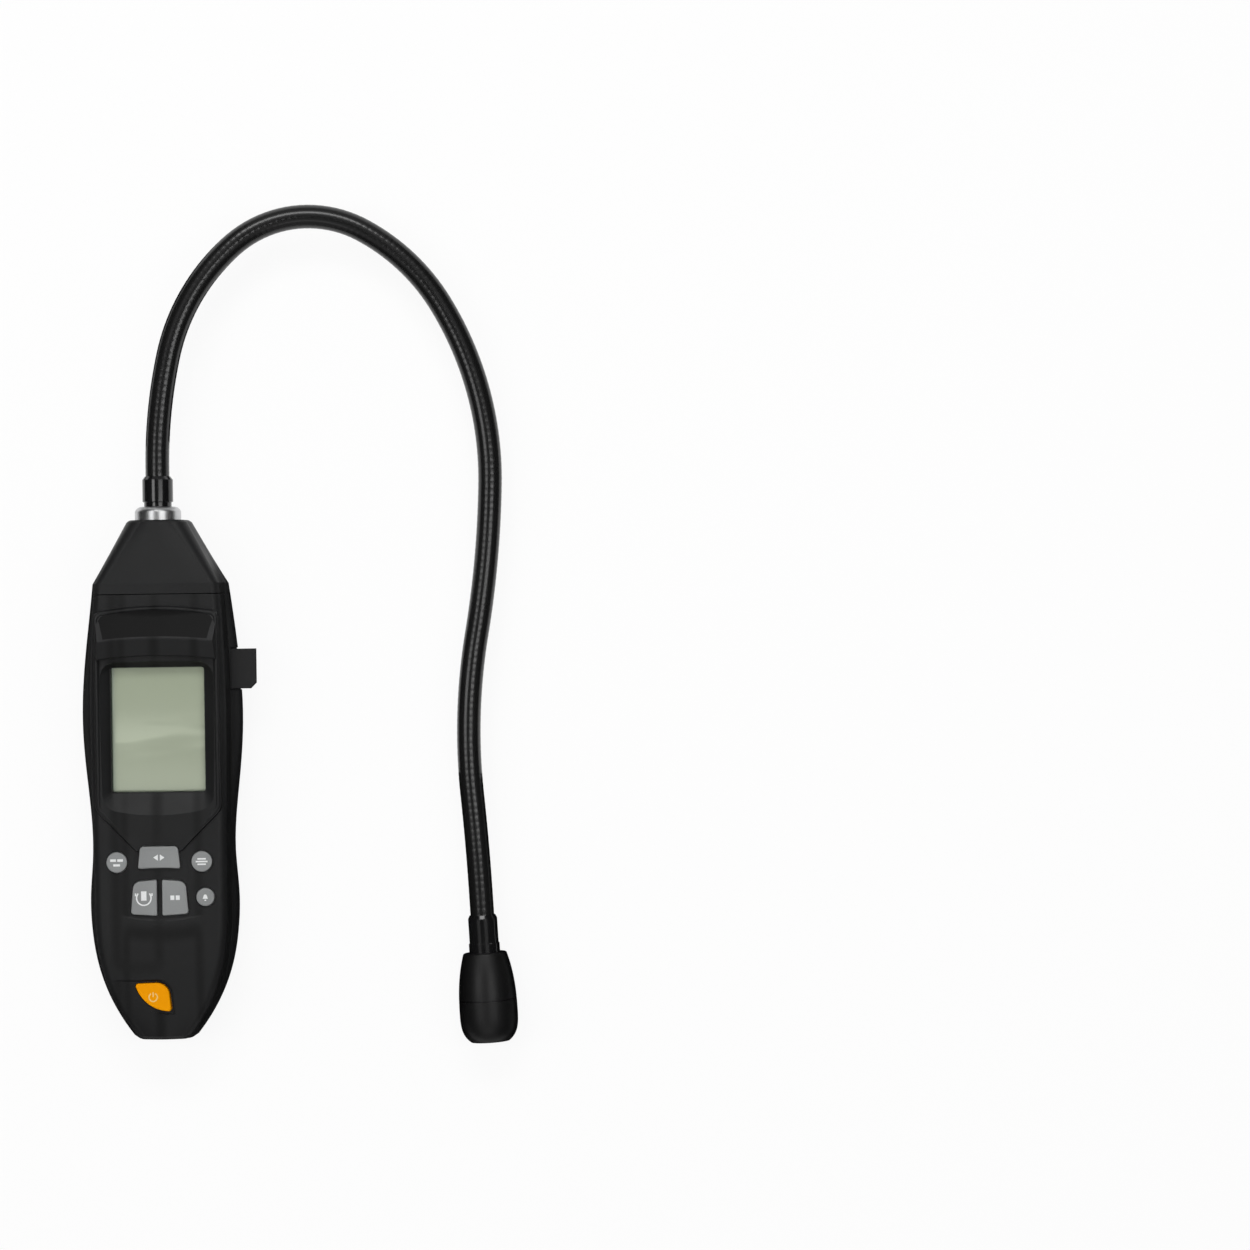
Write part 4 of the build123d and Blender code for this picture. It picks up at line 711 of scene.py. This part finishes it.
@dataclass
class Surround:
    """Thin rim that stands round the display's surround, and the bare dark plate on the brow.

    The rim's outline is given by half its width, its top, the arch of its top edge, the end of
    its sides, and its blunt point. Its section is a line of insets from that outline and of rises
    above the shell. From fade_start to fade_end it sinks into the shell.
    """

    half: float = 22.7 * MM
    top: float = 62.3 * MM
    arch: float = 2.2 * MM
    side_end: float = -10.7 * MM
    point_half: float = 8.3 * MM
    point: float = -25.8 * MM
    corner: float = 4.0 * MM
    corner_rise: float = 0.3 * MM
    corner_gap: float = 0.2 * MM
    arch_steps: int = 16
    side_corner: float = 6.0 * MM
    mitre: float = 0.41
    rim_insets: tuple[float, ...] = (0.55 * MM, 1.15 * MM, 1.35 * MM, 1.75 * MM, 1.95 * MM, 2.35 * MM)
    rim_rises: tuple[float, ...] = (-0.05 * MM, 0.42 * MM, 0.55 * MM, 0.55 * MM, 0.42 * MM, -0.05 * MM)
    above: float = 60.0 * MM
    lowest: float = 26.4 * MM
    fade_start: float = -7.0 * MM
    fade_end: float = -15.0 * MM
    sink: float = 0.05 * MM
    plate_half: float = 20.3 * MM
    plate_ridge_half: float = 18.3 * MM
    plate_top: float = 60.2 * MM
    plate_low: float = 50.9 * MM
    plate_bow: float = 180.0 * MM
    plate_rise: float = 0.06 * MM
    plate_grid: tuple[int, int] = (48, 10)
    gloss: Painted = Painted("brow_plate", (0.004, 0.004, 0.004), roughness=0.5, coat=0.0, sheen=0.12)

    def __post_init__(self) -> None:
        """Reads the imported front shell, so that both pieces lie on it."""
        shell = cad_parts["front_shell"]
        points = [shell.matrix_world @ vertex.co for vertex in shell.data.vertices]
        self.shell = BVHTree.FromPolygons(points, [tuple(face.vertices) for face in shell.data.polygons])

    def surface(self, x: float, y: float) -> float:
        """Height of the front shell above a plan point, or 0 where there is none."""
        hit = self.shell.ray_cast(Vector((x, y, self.above)), Vector((0, 0, -1)))[0]
        return hit.z if hit else 0.0

    def outline(self, inset: float) -> list[Vector]:
        """The surround's outline in plan, open at the blunt point that the wide key covers.

        Args:
            inset: how far it is moved in, in metres.

        Returns:
            Its points, from the point's left end round to its right end.
        """
        half = self.half - inset
        edge = self.top - inset - self.arch
        bow = (half**2 + self.arch**2) / (2 * self.arch)
        flat = half - (self.corner - inset) - self.corner_gap
        top = []
        for i in range(self.arch_steps + 1):
            x = flat * (2 * i / self.arch_steps - 1)
            top.append((Vector((x, self.top - inset - bow + math.sqrt(bow**2 - x**2))), 0.0))
        side_low = self.side_end + self.mitre * inset
        corners = [
            (Vector((-self.point_half + self.mitre * inset, self.point + inset)), 0.0),
            (Vector((-half, side_low)), self.side_corner - inset),
            (Vector((-half, edge + self.corner_rise)), self.corner - inset),
            *top,
            (Vector((half, edge + self.corner_rise)), self.corner - inset),
            (Vector((half, side_low)), self.side_corner - inset),
            (Vector((self.point_half - self.mitre * inset, self.point + inset)), 0.0),
        ]
        return softened(corners)

    def rim(self, material: bpy.types.Material) -> None:
        """The rim: a low ridge with soft shoulders.

        Args:
            material: its finish.
        """
        rows = []
        lines = [self.outline(inset) for inset in self.rim_insets]
        mesh = bmesh.new()
        for across in zip(*lines):
            heights = [self.surface(point.x, point.y) for point in across]
            if min(heights) < self.lowest:
                continue
            crest = max(heights[2:4])
            levels = [min(height, crest) + rise for height, rise in zip(heights, self.rim_rises)]
            levels[1] = crest + self.rim_rises[1]
            levels[4] = crest + self.rim_rises[4]
            stand = min(1.0, max(0.0, (across[2].y - self.fade_end) / (self.fade_start - self.fade_end)))
            sunk = [height - self.sink for height in heights]
            levels = [low + (level - low) * stand for low, level in zip(sunk, levels)]
            rows.append([mesh.verts.new((p.x, p.y, z)) for p, z in zip(across, levels)])
        for first, second in zip(rows, rows[1:]):
            for k in range(len(self.rim_insets) - 1):
                mesh.faces.new((first[k], first[k + 1], second[k + 1], second[k]))
        piece = add_piece("surround_rim", mesh, material)
        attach(piece, "meter")

    def plate(self, material: bpy.types.Material) -> None:
        """The dark plate that fills the brow's slope between the rim and the ridge.

        Args:
            material: its finish.
        """
        columns, steps = self.plate_grid
        mesh = bmesh.new()
        rows = []
        bow = (self.half**2 + self.arch**2) / (2 * self.arch)
        for i in range(columns + 1):
            share = 2 * i / columns - 1
            line = []
            for k in range(steps + 1):
                up = k / steps
                half = self.plate_ridge_half + (self.plate_half - self.plate_ridge_half) * up
                x = half * share
                low = self.plate_low - self.plate_bow + math.sqrt(self.plate_bow**2 - x**2)
                high = self.plate_top - bow + math.sqrt(bow**2 - x**2)
                tuck = max(0.0, abs(x) - (self.plate_half - self.corner)) / self.corner
                high -= self.corner * 0.5 * (1 - math.sqrt(max(0.0, 1 - tuck**2)))
                y = low + (high - low) * up
                line.append(mesh.verts.new((x, y, self.surface(x, y) + self.plate_rise)))
            rows.append(line)
        for first, second in zip(rows, rows[1:]):
            for k in range(steps):
                mesh.faces.new((first[k], second[k], second[k + 1], first[k + 1]))
        piece = add_piece("brow_plate", mesh, material)
        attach(piece, "meter")

    def build(self) -> None:
        """Makes both pieces."""
        self.rim(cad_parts["front_shell"].material_slots[0].material)
        self.plate(self.gloss.build())
        log.info("rim and brow plate laid on the surround")


@dataclass
class Electronics:
    """Board, switches, cells and contacts inside the casing."""

    switches: Moulded = Moulded("switch_black", (0.02, 0.02, 0.02), roughness=0.5)
    guide: Moulded = Moulded("light_guide", (0.75, 0.77, 0.74), roughness=0.35, rub_and_sheen=0.0)
    contact: Plated = Plated("contact_metal", (0.66, 0.64, 0.60), roughness=0.25)
    jacket: Painted = Painted("cell_jacket", (0.05, 0.06, 0.08), roughness=0.3)
    brass: Plated = Plated("nut_brass", (0.70, 0.50, 0.22), roughness=0.25)

    def build(self) -> None:
        """Dresses every inner node."""
        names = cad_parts
        dress(Board("board_green").build(), "main_board")
        dress(self.switches.build(), *[name for name in names if name.startswith("switch_")])
        dress(self.guide.build(), "display_backlight", "lead_header", "lead_plug")
        dress(self.contact.build(), "contacts_nose_end", "contacts_tail_end")
        dress(self.jacket.build(), *[name for name in names if name.startswith("battery_cell")])
        dress(self.brass.build(), "collar_nut")
        log.info("inner pieces dressed")


@dataclass
class Display:
    """Display glass under its clear window."""

    face: DisplayFace = DisplayFace("display_glass")
    cover: ClearCover = ClearCover("window_clear")

    def build(self) -> None:
        """Dresses the glass and the window."""
        dress(self.face.build(), "display_panel")
        dress(self.cover.build(), "display_window")
        log.info("display dressed")


class Sign(Enum):
    """What is printed on a key."""

    ARROWS = "two arrowheads that point apart"
    LAMP = "a lamp in a broken ring"
    SQUARES = "two squares"
    BARS = "two short bars above a third"
    LINES = "bars one above the other"
    BELL = "a bell"
    POWER = "a broken ring with a bar"


@dataclass
class Keypad:
    """Seven press keys with printed signs."""

    grey: Moulded = Moulded("key_grey", (0.262, 0.270, 0.270), grain=0.22 * MM, depth=0.008 * MM)
    orange: Moulded = Moulded("key_orange", (1.0, 0.36, 0.0), grain=0.22 * MM, depth=0.008 * MM, sheen=0.04)
    pale_ink: Print = Print("sign_pale", (0.86, 0.87, 0.87))
    warm_ink: Print = Print("sign_warm", (0.95, 0.62, 0.18))
    ink_height: float = 0.03 * MM
    signs: dict[str, Sign] = field(default_factory=lambda: {
        "key_wide": Sign.ARROWS,
        "key_left_middle": Sign.LAMP,
        "key_right_middle": Sign.SQUARES,
        "key_left_round": Sign.BARS,
        "key_right_round": Sign.LINES,
        "key_small_round": Sign.BELL,
        "key_power": Sign.POWER,
    })

    def build(self) -> None:
        """Dresses the keys and prints their signs."""
        dress(self.grey.build(), *[key for key in self.signs if key != "key_power"])
        dress(self.orange.build(), "key_power")
        inks = {False: self.pale_ink.build(), True: self.warm_ink.build()}
        for key, sign in self.signs.items():
            low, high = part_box(key)
            mesh = bmesh.new()
            self.draw(mesh, sign, (low + high) / 2, high.z)
            piece = add_piece(key.replace("key", "sign"), mesh, inks[key == "key_power"], smooth=False)
            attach(piece, key)
        log.info("%d keys dressed and signed", len(self.signs))

    def draw(self, mesh: bmesh.types.BMesh, sign: Sign, centre: Vector, top: float) -> None:
        """Draws one sign as thin plates of ink.

        Args:
            mesh: the mesh that gets it.
            sign: which sign.
            centre: the key's centre.
            top: height of the key's top.
        """
        low, high = top - self.ink_height, top + self.ink_height

        def plate(*points: tuple[float, float]) -> None:
            """A plate with these corners, in millimetres from the key's centre."""
            slab(mesh, [Vector((centre.x + x * MM, centre.y + y * MM, 0)) for x, y in points], low, high)

        def bar(x: float, y: float, width: float, height: float) -> None:
            """An upright rectangle round the point x, y."""
            plate((x - width / 2, y - height / 2), (x + width / 2, y - height / 2),
                  (x + width / 2, y + height / 2), (x - width / 2, y + height / 2))

        def ring(inner: float, outer: float, start: float = 0.0, end: float = 360.0) -> None:
            """A ring round the key's centre."""
            ring_slab(mesh, centre, inner * MM, outer * MM, start, end, low, high)

        if sign is Sign.ARROWS:
            for side in (-1, 1):
                plate(*[(side * x, y) for x, y in ((0.35, -1.1), (2.0, 0.0), (0.35, 1.1))][::side])
        elif sign is Sign.LAMP:
            ring(2.3, 2.8, 140, 400)
            bar(0, 0.75, 1.9, 3.3)
            for side in (-1, 1):
                bar(side * 2.9, 1.2, 0.5, 1.0)
        elif sign is Sign.SQUARES:
            for side in (-1, 1):
                bar(side * 0.95, 0, 1.4, 1.6)
        elif sign is Sign.BARS:
            for side in (-1, 1):
                bar(side * 1.25, 0.75, 2.0, 0.9)
            bar(0, -0.95, 2.4, 0.8)
        elif sign is Sign.LINES:
            for level in (-1, 0, 1):
                bar(0, level * 0.95, 4.2 - abs(level) * 1.2, 0.55)
        elif sign is Sign.BELL:
            plate((-0.9, -0.6), (0.9, -0.6), (0.6, 0.5), (0.3, 0.95), (-0.3, 0.95), (-0.6, 0.5))
            bar(0, -1.1, 0.6, 0.4)
        else:
            ring(1.25, 1.7, 120, 420)
            bar(0, 0.95, 0.45, 1.7)


@dataclass
class Run:
    """A straight run or an arc of the gooseneck's line."""

    start: float
    place: Vector
    heading: float
    radius: float

    def at(self, along: float) -> tuple[Vector, float]:
        """A place on the run.

        Args:
            along: distance along the whole line, in metres.

        Returns:
            The point in the line's own plane, and its heading there.
        """
        used = along - self.start
        if not self.radius:
            ahead = Vector((math.cos(self.heading), math.sin(self.heading), 0))
            return self.place + ahead * used, self.heading
        after = self.heading + used / self.radius
        side = Vector((-math.sin(self.heading), math.cos(self.heading), 0))
        end_side = Vector((-math.sin(after), math.cos(after), 0))
        return self.place + (side - end_side) * self.radius, after


@dataclass
class Gooseneck:
    """Bend-and-stay arm: a sleeve shrunk over a wound spring, with the probe's lead inside.

    Its bends are a list of a radius in millimetres and the angle turned through in degrees,
    clockwise if negative. Its plane is rolled about the collar's axis by roll, in degrees.
    """

    radius: float = 4.25 * MM
    bore: float = 3.75 * MM
    spring_radius: float = 3.69 * MM
    spring_bore: float = 2.2 * MM
    lead_radius: float = 1.5 * MM
    pitch: float = 2.35 * MM
    rib: float = 0.04 * MM
    rings_per_rib: int = 6
    plain_step: float = 2.0 * MM
    sides: int = 32
    grip: float = 8.0 * MM
    lead_in: float = 3.0 * MM
    lead_out: float = 8.0 * MM
    roll: float = 3.45
    bend_start: float = 2.0 * MM
    near_share: float = 0.5
    far_share: float = 0.32
    bends: tuple[tuple[float, float], ...] = (
        (184.0, -12.5), (73.0, -36.4), (40.7, -69.8), (72.5, -30.5),
        (119.5, -32.4), (363.0, -8.5), (214.0, 15.5), (835.0, -2.4),
    )
    sleeve: Painted = Painted("sleeve_black", (0.008, 0.008, 0.008), roughness=0.26, coat=0.2)
    spring: Plated = Plated("spring_steel", (0.36, 0.36, 0.37), roughness=0.35)
    jacket: Moulded = Moulded("lead_jacket", (0.03, 0.03, 0.033), roughness=0.5, rub_and_sheen=0.0)

    def __post_init__(self) -> None:
        """Lays the straight runs and the arcs end to end, from the casing's ferrule on."""
        low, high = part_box("casing_ferrule")
        self.height = (low.z + high.z) / 2
        first = Run(0.0, Vector((0.0, high.y, 0.0)), math.pi / 2, 0.0)
        self.runs = [first]
        along = self.lead_in
        for radius, turn in self.bends:
            place, heading = self.runs[-1].at(along)
            self.runs.append(Run(along, place, heading, math.copysign(radius * MM, turn)))
            along += radius * MM * math.radians(abs(turn))
        place, heading = self.runs[-1].at(along)
        self.runs.append(Run(along, place, heading, 0.0))
        self.length = along + self.lead_out

    def point(self, along: float) -> tuple[Vector, Vector]:
        """A place on the centre line, in the plane that is rolled about the collar's axis.

        Args:
            along: distance from where the line leaves the casing's ferrule, in metres.

        Returns:
            The point and the line's direction there.
        """
        run = [run for run in self.runs if run.start <= along or run is self.runs[0]][-1]
        place, heading = run.at(along)
        tilt = math.radians(self.roll)
        ahead = Vector((math.cos(heading), math.sin(heading), 0))
        return (
            Vector((place.x * math.cos(tilt), place.y, self.height - place.x * math.sin(tilt))),
            Vector((ahead.x * math.cos(tilt), ahead.y, -ahead.x * math.sin(tilt))),
        )

    def apex(self) -> float:
        """Distance along the line to the top of its arch, where the two halves meet."""
        rising = self.bends[:2]
        reach = sum(radius * MM * math.radians(abs(turn)) for radius, turn in rising)
        left = math.pi / 2 - math.radians(sum(abs(turn) for _, turn in rising))
        return self.lead_in + reach + self.bends[2][0] * MM * left

    def tube(self, name: str, start: float, end: float, radius: float, bore: float,
             material: bpy.types.Material, rib: float = 0.0) -> bpy.types.Object:
        """A tube along the line.

        Args:
            name: the piece's name.
            start: distance along the line where it begins.
            end: where it ends.
            radius: outer radius, on the crest of a rib.
            bore: inner radius, or 0 for a bar.
            material: its finish.
            rib: depth of the valleys between ribs.

        Returns:
            The new object.
        """
        def crest(along: float) -> float:
            """The outer radius at a distance along the line."""
            wave = abs(math.sin(math.pi * along / self.pitch))
            return radius - rib * (1 - wave) ** 2

        step = self.pitch / self.rings_per_rib if rib else self.plain_step
        count = max(2, round((end - start) / step))
        mesh = bmesh.new()
        places = [start + (end - start) * i / count for i in range(count + 1)]
        rows = [self.ring(mesh, along, crest(along)) for along in places]
        for first, second in zip(rows, rows[1:]):
            self.join(mesh, first, second)
        for along in (start, end):
            rim = self.ring(mesh, along, crest(along))
            if bore:
                self.join(mesh, rim, self.ring(mesh, along, bore))
            else:
                mesh.faces.new(rim)
        return add_piece(name, mesh, material)

    def join(
        self, mesh: bmesh.types.BMesh, first: list[bmesh.types.BMVert], second: list[bmesh.types.BMVert],
    ) -> None:
        """Joins two rings of points by faces."""
        for k in range(self.sides):
            n = (k + 1) % self.sides
            mesh.faces.new((first[k], first[n], second[n], second[k]))

    def ring(self, mesh: bmesh.types.BMesh, along: float, radius: float) -> list[bmesh.types.BMVert]:
        """A ring of points square to the line.

        Args:
            mesh: the mesh that gets it.
            along: distance along the line.
            radius: the ring's radius.

        Returns:
            Its points, in order.
        """
        place, ahead = self.point(along)
        up = Vector((math.sin(math.radians(self.roll)), 0, math.cos(math.radians(self.roll))))
        side = ahead.cross(up)
        turns = [2 * math.pi * k / self.sides for k in range(self.sides)]
        return [mesh.verts.new(place + (side * math.cos(t) + up * math.sin(t)) * radius) for t in turns]

    def build(self) -> None:
        """Makes the sleeve, spring and lead in two halves that meet at the top of the arch."""
        top = self.apex()
        halves = {"near": (-self.grip, top), "far": (top, self.length + self.grip)}
        layers = {
            "gooseneck_sleeve": (self.radius, self.bore, self.sleeve.build(), self.rib, "sleeve_black"),
            "gooseneck_spring": (
                self.spring_radius, self.spring_bore, self.spring.build(), 0.0, "spring_steel",
            ),
            "probe_lead": (self.lead_radius, 0.0, self.jacket.build(), 0.0, "lead_jacket"),
        }
        for node, (radius, bore, material, rib, slot) in layers.items():
            for half, (start, end) in halves.items():
                piece = self.tube(f"{node}_{half}", start, end, radius, bore, material, rib)
                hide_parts(node)
                self.bend(piece, half)
        log.info("gooseneck: %.1f mm show between its ferrules", self.length / MM)

    def bend(self, piece: bpy.types.Object, half: str) -> None:
        """Bakes a half's placing into its mesh; the points where it would bend are worked out but not used.

        Args:
            piece: the half.
            half: "near" for the casing's side of the arch, "far" for the probe's.
        """
        top = self.apex()
        if half == "near":
            start, end = self.point(self.bend_start)[0], self.point(self.near_share * top)[0]
            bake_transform(piece)
        else:
            start, end = self.point(top)[0], self.point(top + self.far_share * (self.length - top))[0]
            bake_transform(piece)


@dataclass
class Fittings:
    """Collar, the two ferrules and the probe."""

    chrome: Plated = Plated("collar_chrome", (0.58, 0.585, 0.59), roughness=0.34, haze=0.05)
    ferrule: Painted = Painted("ferrule_black", (0.007, 0.007, 0.0075), roughness=0.15, coat=0.4)
    probe: Moulded = Moulded(
        "probe_plastic", (0.0038, 0.0038, 0.0040), roughness=0.43, grain=0.24 * MM, depth=0.004 * MM,
        sheen=0.38,
    )
    seal: Moulded = Moulded("seal_rubber", (0.012, 0.012, 0.012), roughness=0.6, rub_and_sheen=0.0)
    steel: Plated = Plated("filter_steel", (0.56, 0.56, 0.57), roughness=0.3)

    def build(self) -> None:
        """Dresses them."""
        dress(self.chrome.build(), "collar")
        dress(self.ferrule.build(), "casing_ferrule", "probe_ferrule")
        dress(self.probe.build(), "probe_body", "probe_cap")
        dress(self.seal.build(), "probe_seal")
        dress(self.steel.build(), "filter_disc", "gas_sensor")
        log.info("collar, ferrules and probe dressed")


@dataclass
class Studio:
    """Floor, soft lamps, black cards, world and camera.

    Each black card is given by its lowest and its highest corner.
    """

    look_at: Vector = field(default_factory=lambda: Vector((165.55 * MM, 52.6 * MM, 12 * MM)))
    distance: float = 1.388
    view_width: float = 446.4 * MM
    turn: float = -0.79
    sensor: float = 36.0
    floor_size: float = 6.0
    floor_depth: float = 20.0 * MM
    floor_gap: float = 0.1 * MM
    floor_colour: Colour = (0.97, 0.97, 0.97)
    floor_lift: float = 0.90
    world_level: float = 0.28
    lamp_height: float = 1.15
    lamp_places: tuple[float, float] = (-0.55, 0.52)
    lamp_widths: tuple[float, float] = (0.30, 0.16)
    lamp_length: float = 1.1
    lamp_powers: tuple[float, float] = (3.9, 3.1)
    end_lamp_places: tuple[Triple, Triple] = ((0.04, 0.95, 1.05), (0.04, -0.85, 1.05))
    end_lamp_size: tuple[float, float] = (0.9, 0.34)
    end_lamp_powers: tuple[float, float] = (6.4, 0.7)
    aim_x: float = 60.0 * MM
    flags: tuple[tuple[Triple, Triple], ...] = (
        ((-0.33, -0.70, 0.00), (-0.32, 0.80, 0.46)),
        ((-0.076, -0.16, 0.00), (-0.075, 0.26, 0.055)),
        ((0.180, -0.16, 0.00), (0.181, 0.26, 0.055)),
        ((0.50, -0.70, 0.00), (0.51, 0.80, 0.56)),
        ((-0.060, -0.14, 0.00), (0.165, 0.00, 0.0002)),
        ((-0.060, 0.00, 0.00), (0.075, 0.080, 0.0002)),
        ((-0.030, 0.12, 0.00), (0.030, 0.20, 0.0002)),
        ((-0.38, -0.32, 1.25), (0.38, 0.36, 1.26)),
    )

    def camera(self) -> None:
        """Camera straight above the table, as the photograph was taken."""
        data = bpy.data.cameras.new("camera")
        data.sensor_width = self.sensor
        data.lens = self.sensor * self.distance / self.view_width
        data.clip_start = 0.05
        data.clip_end = 20.0
        camera = bpy.data.objects.new("camera", data)
        camera.location = self.look_at + Vector((0, 0, self.distance))
        camera.rotation_euler = (0, 0, math.radians(self.turn))
        bpy.context.scene.collection.objects.link(camera)
        bpy.context.scene.camera = camera

    def lamp(self, name: str, place: Vector, size: tuple[float, float], power: float) -> None:
        """A softbox that is aimed at the object.

        Args:
            name: its name.
            place: where it hangs.
            size: its width and length.
            power: its power, in watts.
        """
        data = bpy.data.lights.new(name, "AREA")
        data.shape = "RECTANGLE"
        data.size, data.size_y = size
        data.energy = power
        lamp = bpy.data.objects.new(name, data)
        lamp.location = place
        aim = Vector((self.aim_x, self.look_at.y, 0)) - place
        lamp.rotation_euler = aim.to_track_quat("-Z", "Y").to_euler()
        bpy.context.scene.collection.objects.link(lamp)

    def lamps(self) -> None:
        """Two long softboxes, one each side of the camera, and a wide one past each end."""
        for name, x, width, power in zip(
            ("lamp_left", "lamp_right"), self.lamp_places, self.lamp_widths, self.lamp_powers,
        ):
            place = Vector((x, self.look_at.y, self.lamp_height))
            self.lamp(name, place, (width, self.lamp_length), power)
        for name, place, power in zip(("lamp_nose", "lamp_tail"), self.end_lamp_places, self.end_lamp_powers):
            self.lamp(name, Vector(place), self.end_lamp_size, power)

    def hang_flags(self) -> None:
        """Black cards beside, below and above the object, which only its glossy surfaces reflect."""
        s = Shader("flag_black")
        material = s.finish(Base_Color=(0.0, 0.0, 0.0), Roughness=1.0, Specular_IOR_Level=0.0)
        for i, (low, high) in enumerate(self.flags):
            mesh = bmesh.new()
            corners = (low[:2], (high[0], low[1]), high[:2], (low[0], high[1]))
            slab(mesh, [Vector((x, y, 0)) for x, y in corners], low[2], high[2])
            flag = add_piece(f"flag_{i + 1}", mesh, material, smooth=False)
            flag.visible_camera = False
            flag.visible_diffuse = False
            flag.visible_transmission = False
            flag.visible_shadow = False

    def world(self) -> None:
        """Plain white surroundings: dim as a light, white where they are seen."""
        world = bpy.data.worlds.new("world")
        world.use_nodes = True
        sky = Nodes(world.node_tree)
        seen = Varying(sky, sky.node("ShaderNodeLightPath").outputs["Is Camera Ray"])
        level = seen * (1.0 - self.world_level) + self.world_level
        light = sky.node("ShaderNodeBackground", None, {"Color": WHITE, "Strength": level}).outputs[0]
        sky.node("ShaderNodeOutputWorld", None, {"Surface": light})
        bpy.context.scene.world = world

    def floor(self) -> None:
        """White table that keeps the object's soft shadow."""
        s = Shader("floor_white")
        path = s.node("ShaderNodeLightPath")
        seen = Varying(s, path.outputs["Is Camera Ray"])
        seen = seen.or_more(Varying(s, path.outputs["Is Glossy Ray"]))
        seen = seen.or_more(Varying(s, path.outputs["Is Transmission Ray"]))
        matt = s.node("ShaderNodeBsdfDiffuse", None, {"Color": self.floor_colour}).outputs[0]
        white = s.node("ShaderNodeEmission", None, {"Color": WHITE, "Strength": 1.0}).outputs[0]
        mixed = s.node("ShaderNodeMixShader", None, {0: seen * self.floor_lift, 1: matt, 2: white})
        s.tree.links.new(mixed.outputs[0], s.output.inputs[0])
        half = self.floor_size / 2
        mesh = bmesh.new()
        corners = ((-half, -half), (half, -half), (half, half), (-half, half))
        slab(mesh, [Vector((x, y, 0)) for x, y in corners], -self.floor_depth, -self.floor_gap)
        floor = add_piece("floor", mesh, s.material, smooth=False)

    def build(self) -> None:
        """Makes all of it."""
        self.camera()
        self.lamps()
        self.hang_flags()
        self.world()
        self.floor()
        bpy.context.scene.view_settings.view_transform = "Standard"
        log.info("studio ready")


def main() -> None:
    """Builds the studio, then the sub-assemblies in order."""
    logging.basicConfig(level=logging.INFO, format="%(message)s")
    for kind in (Studio, Gooseneck, Casing, Surround, Electronics, Display, Keypad, Fittings):
        kind().build()
    bpy.context.view_layer.update()


if __name__ == "__main__":
    main()
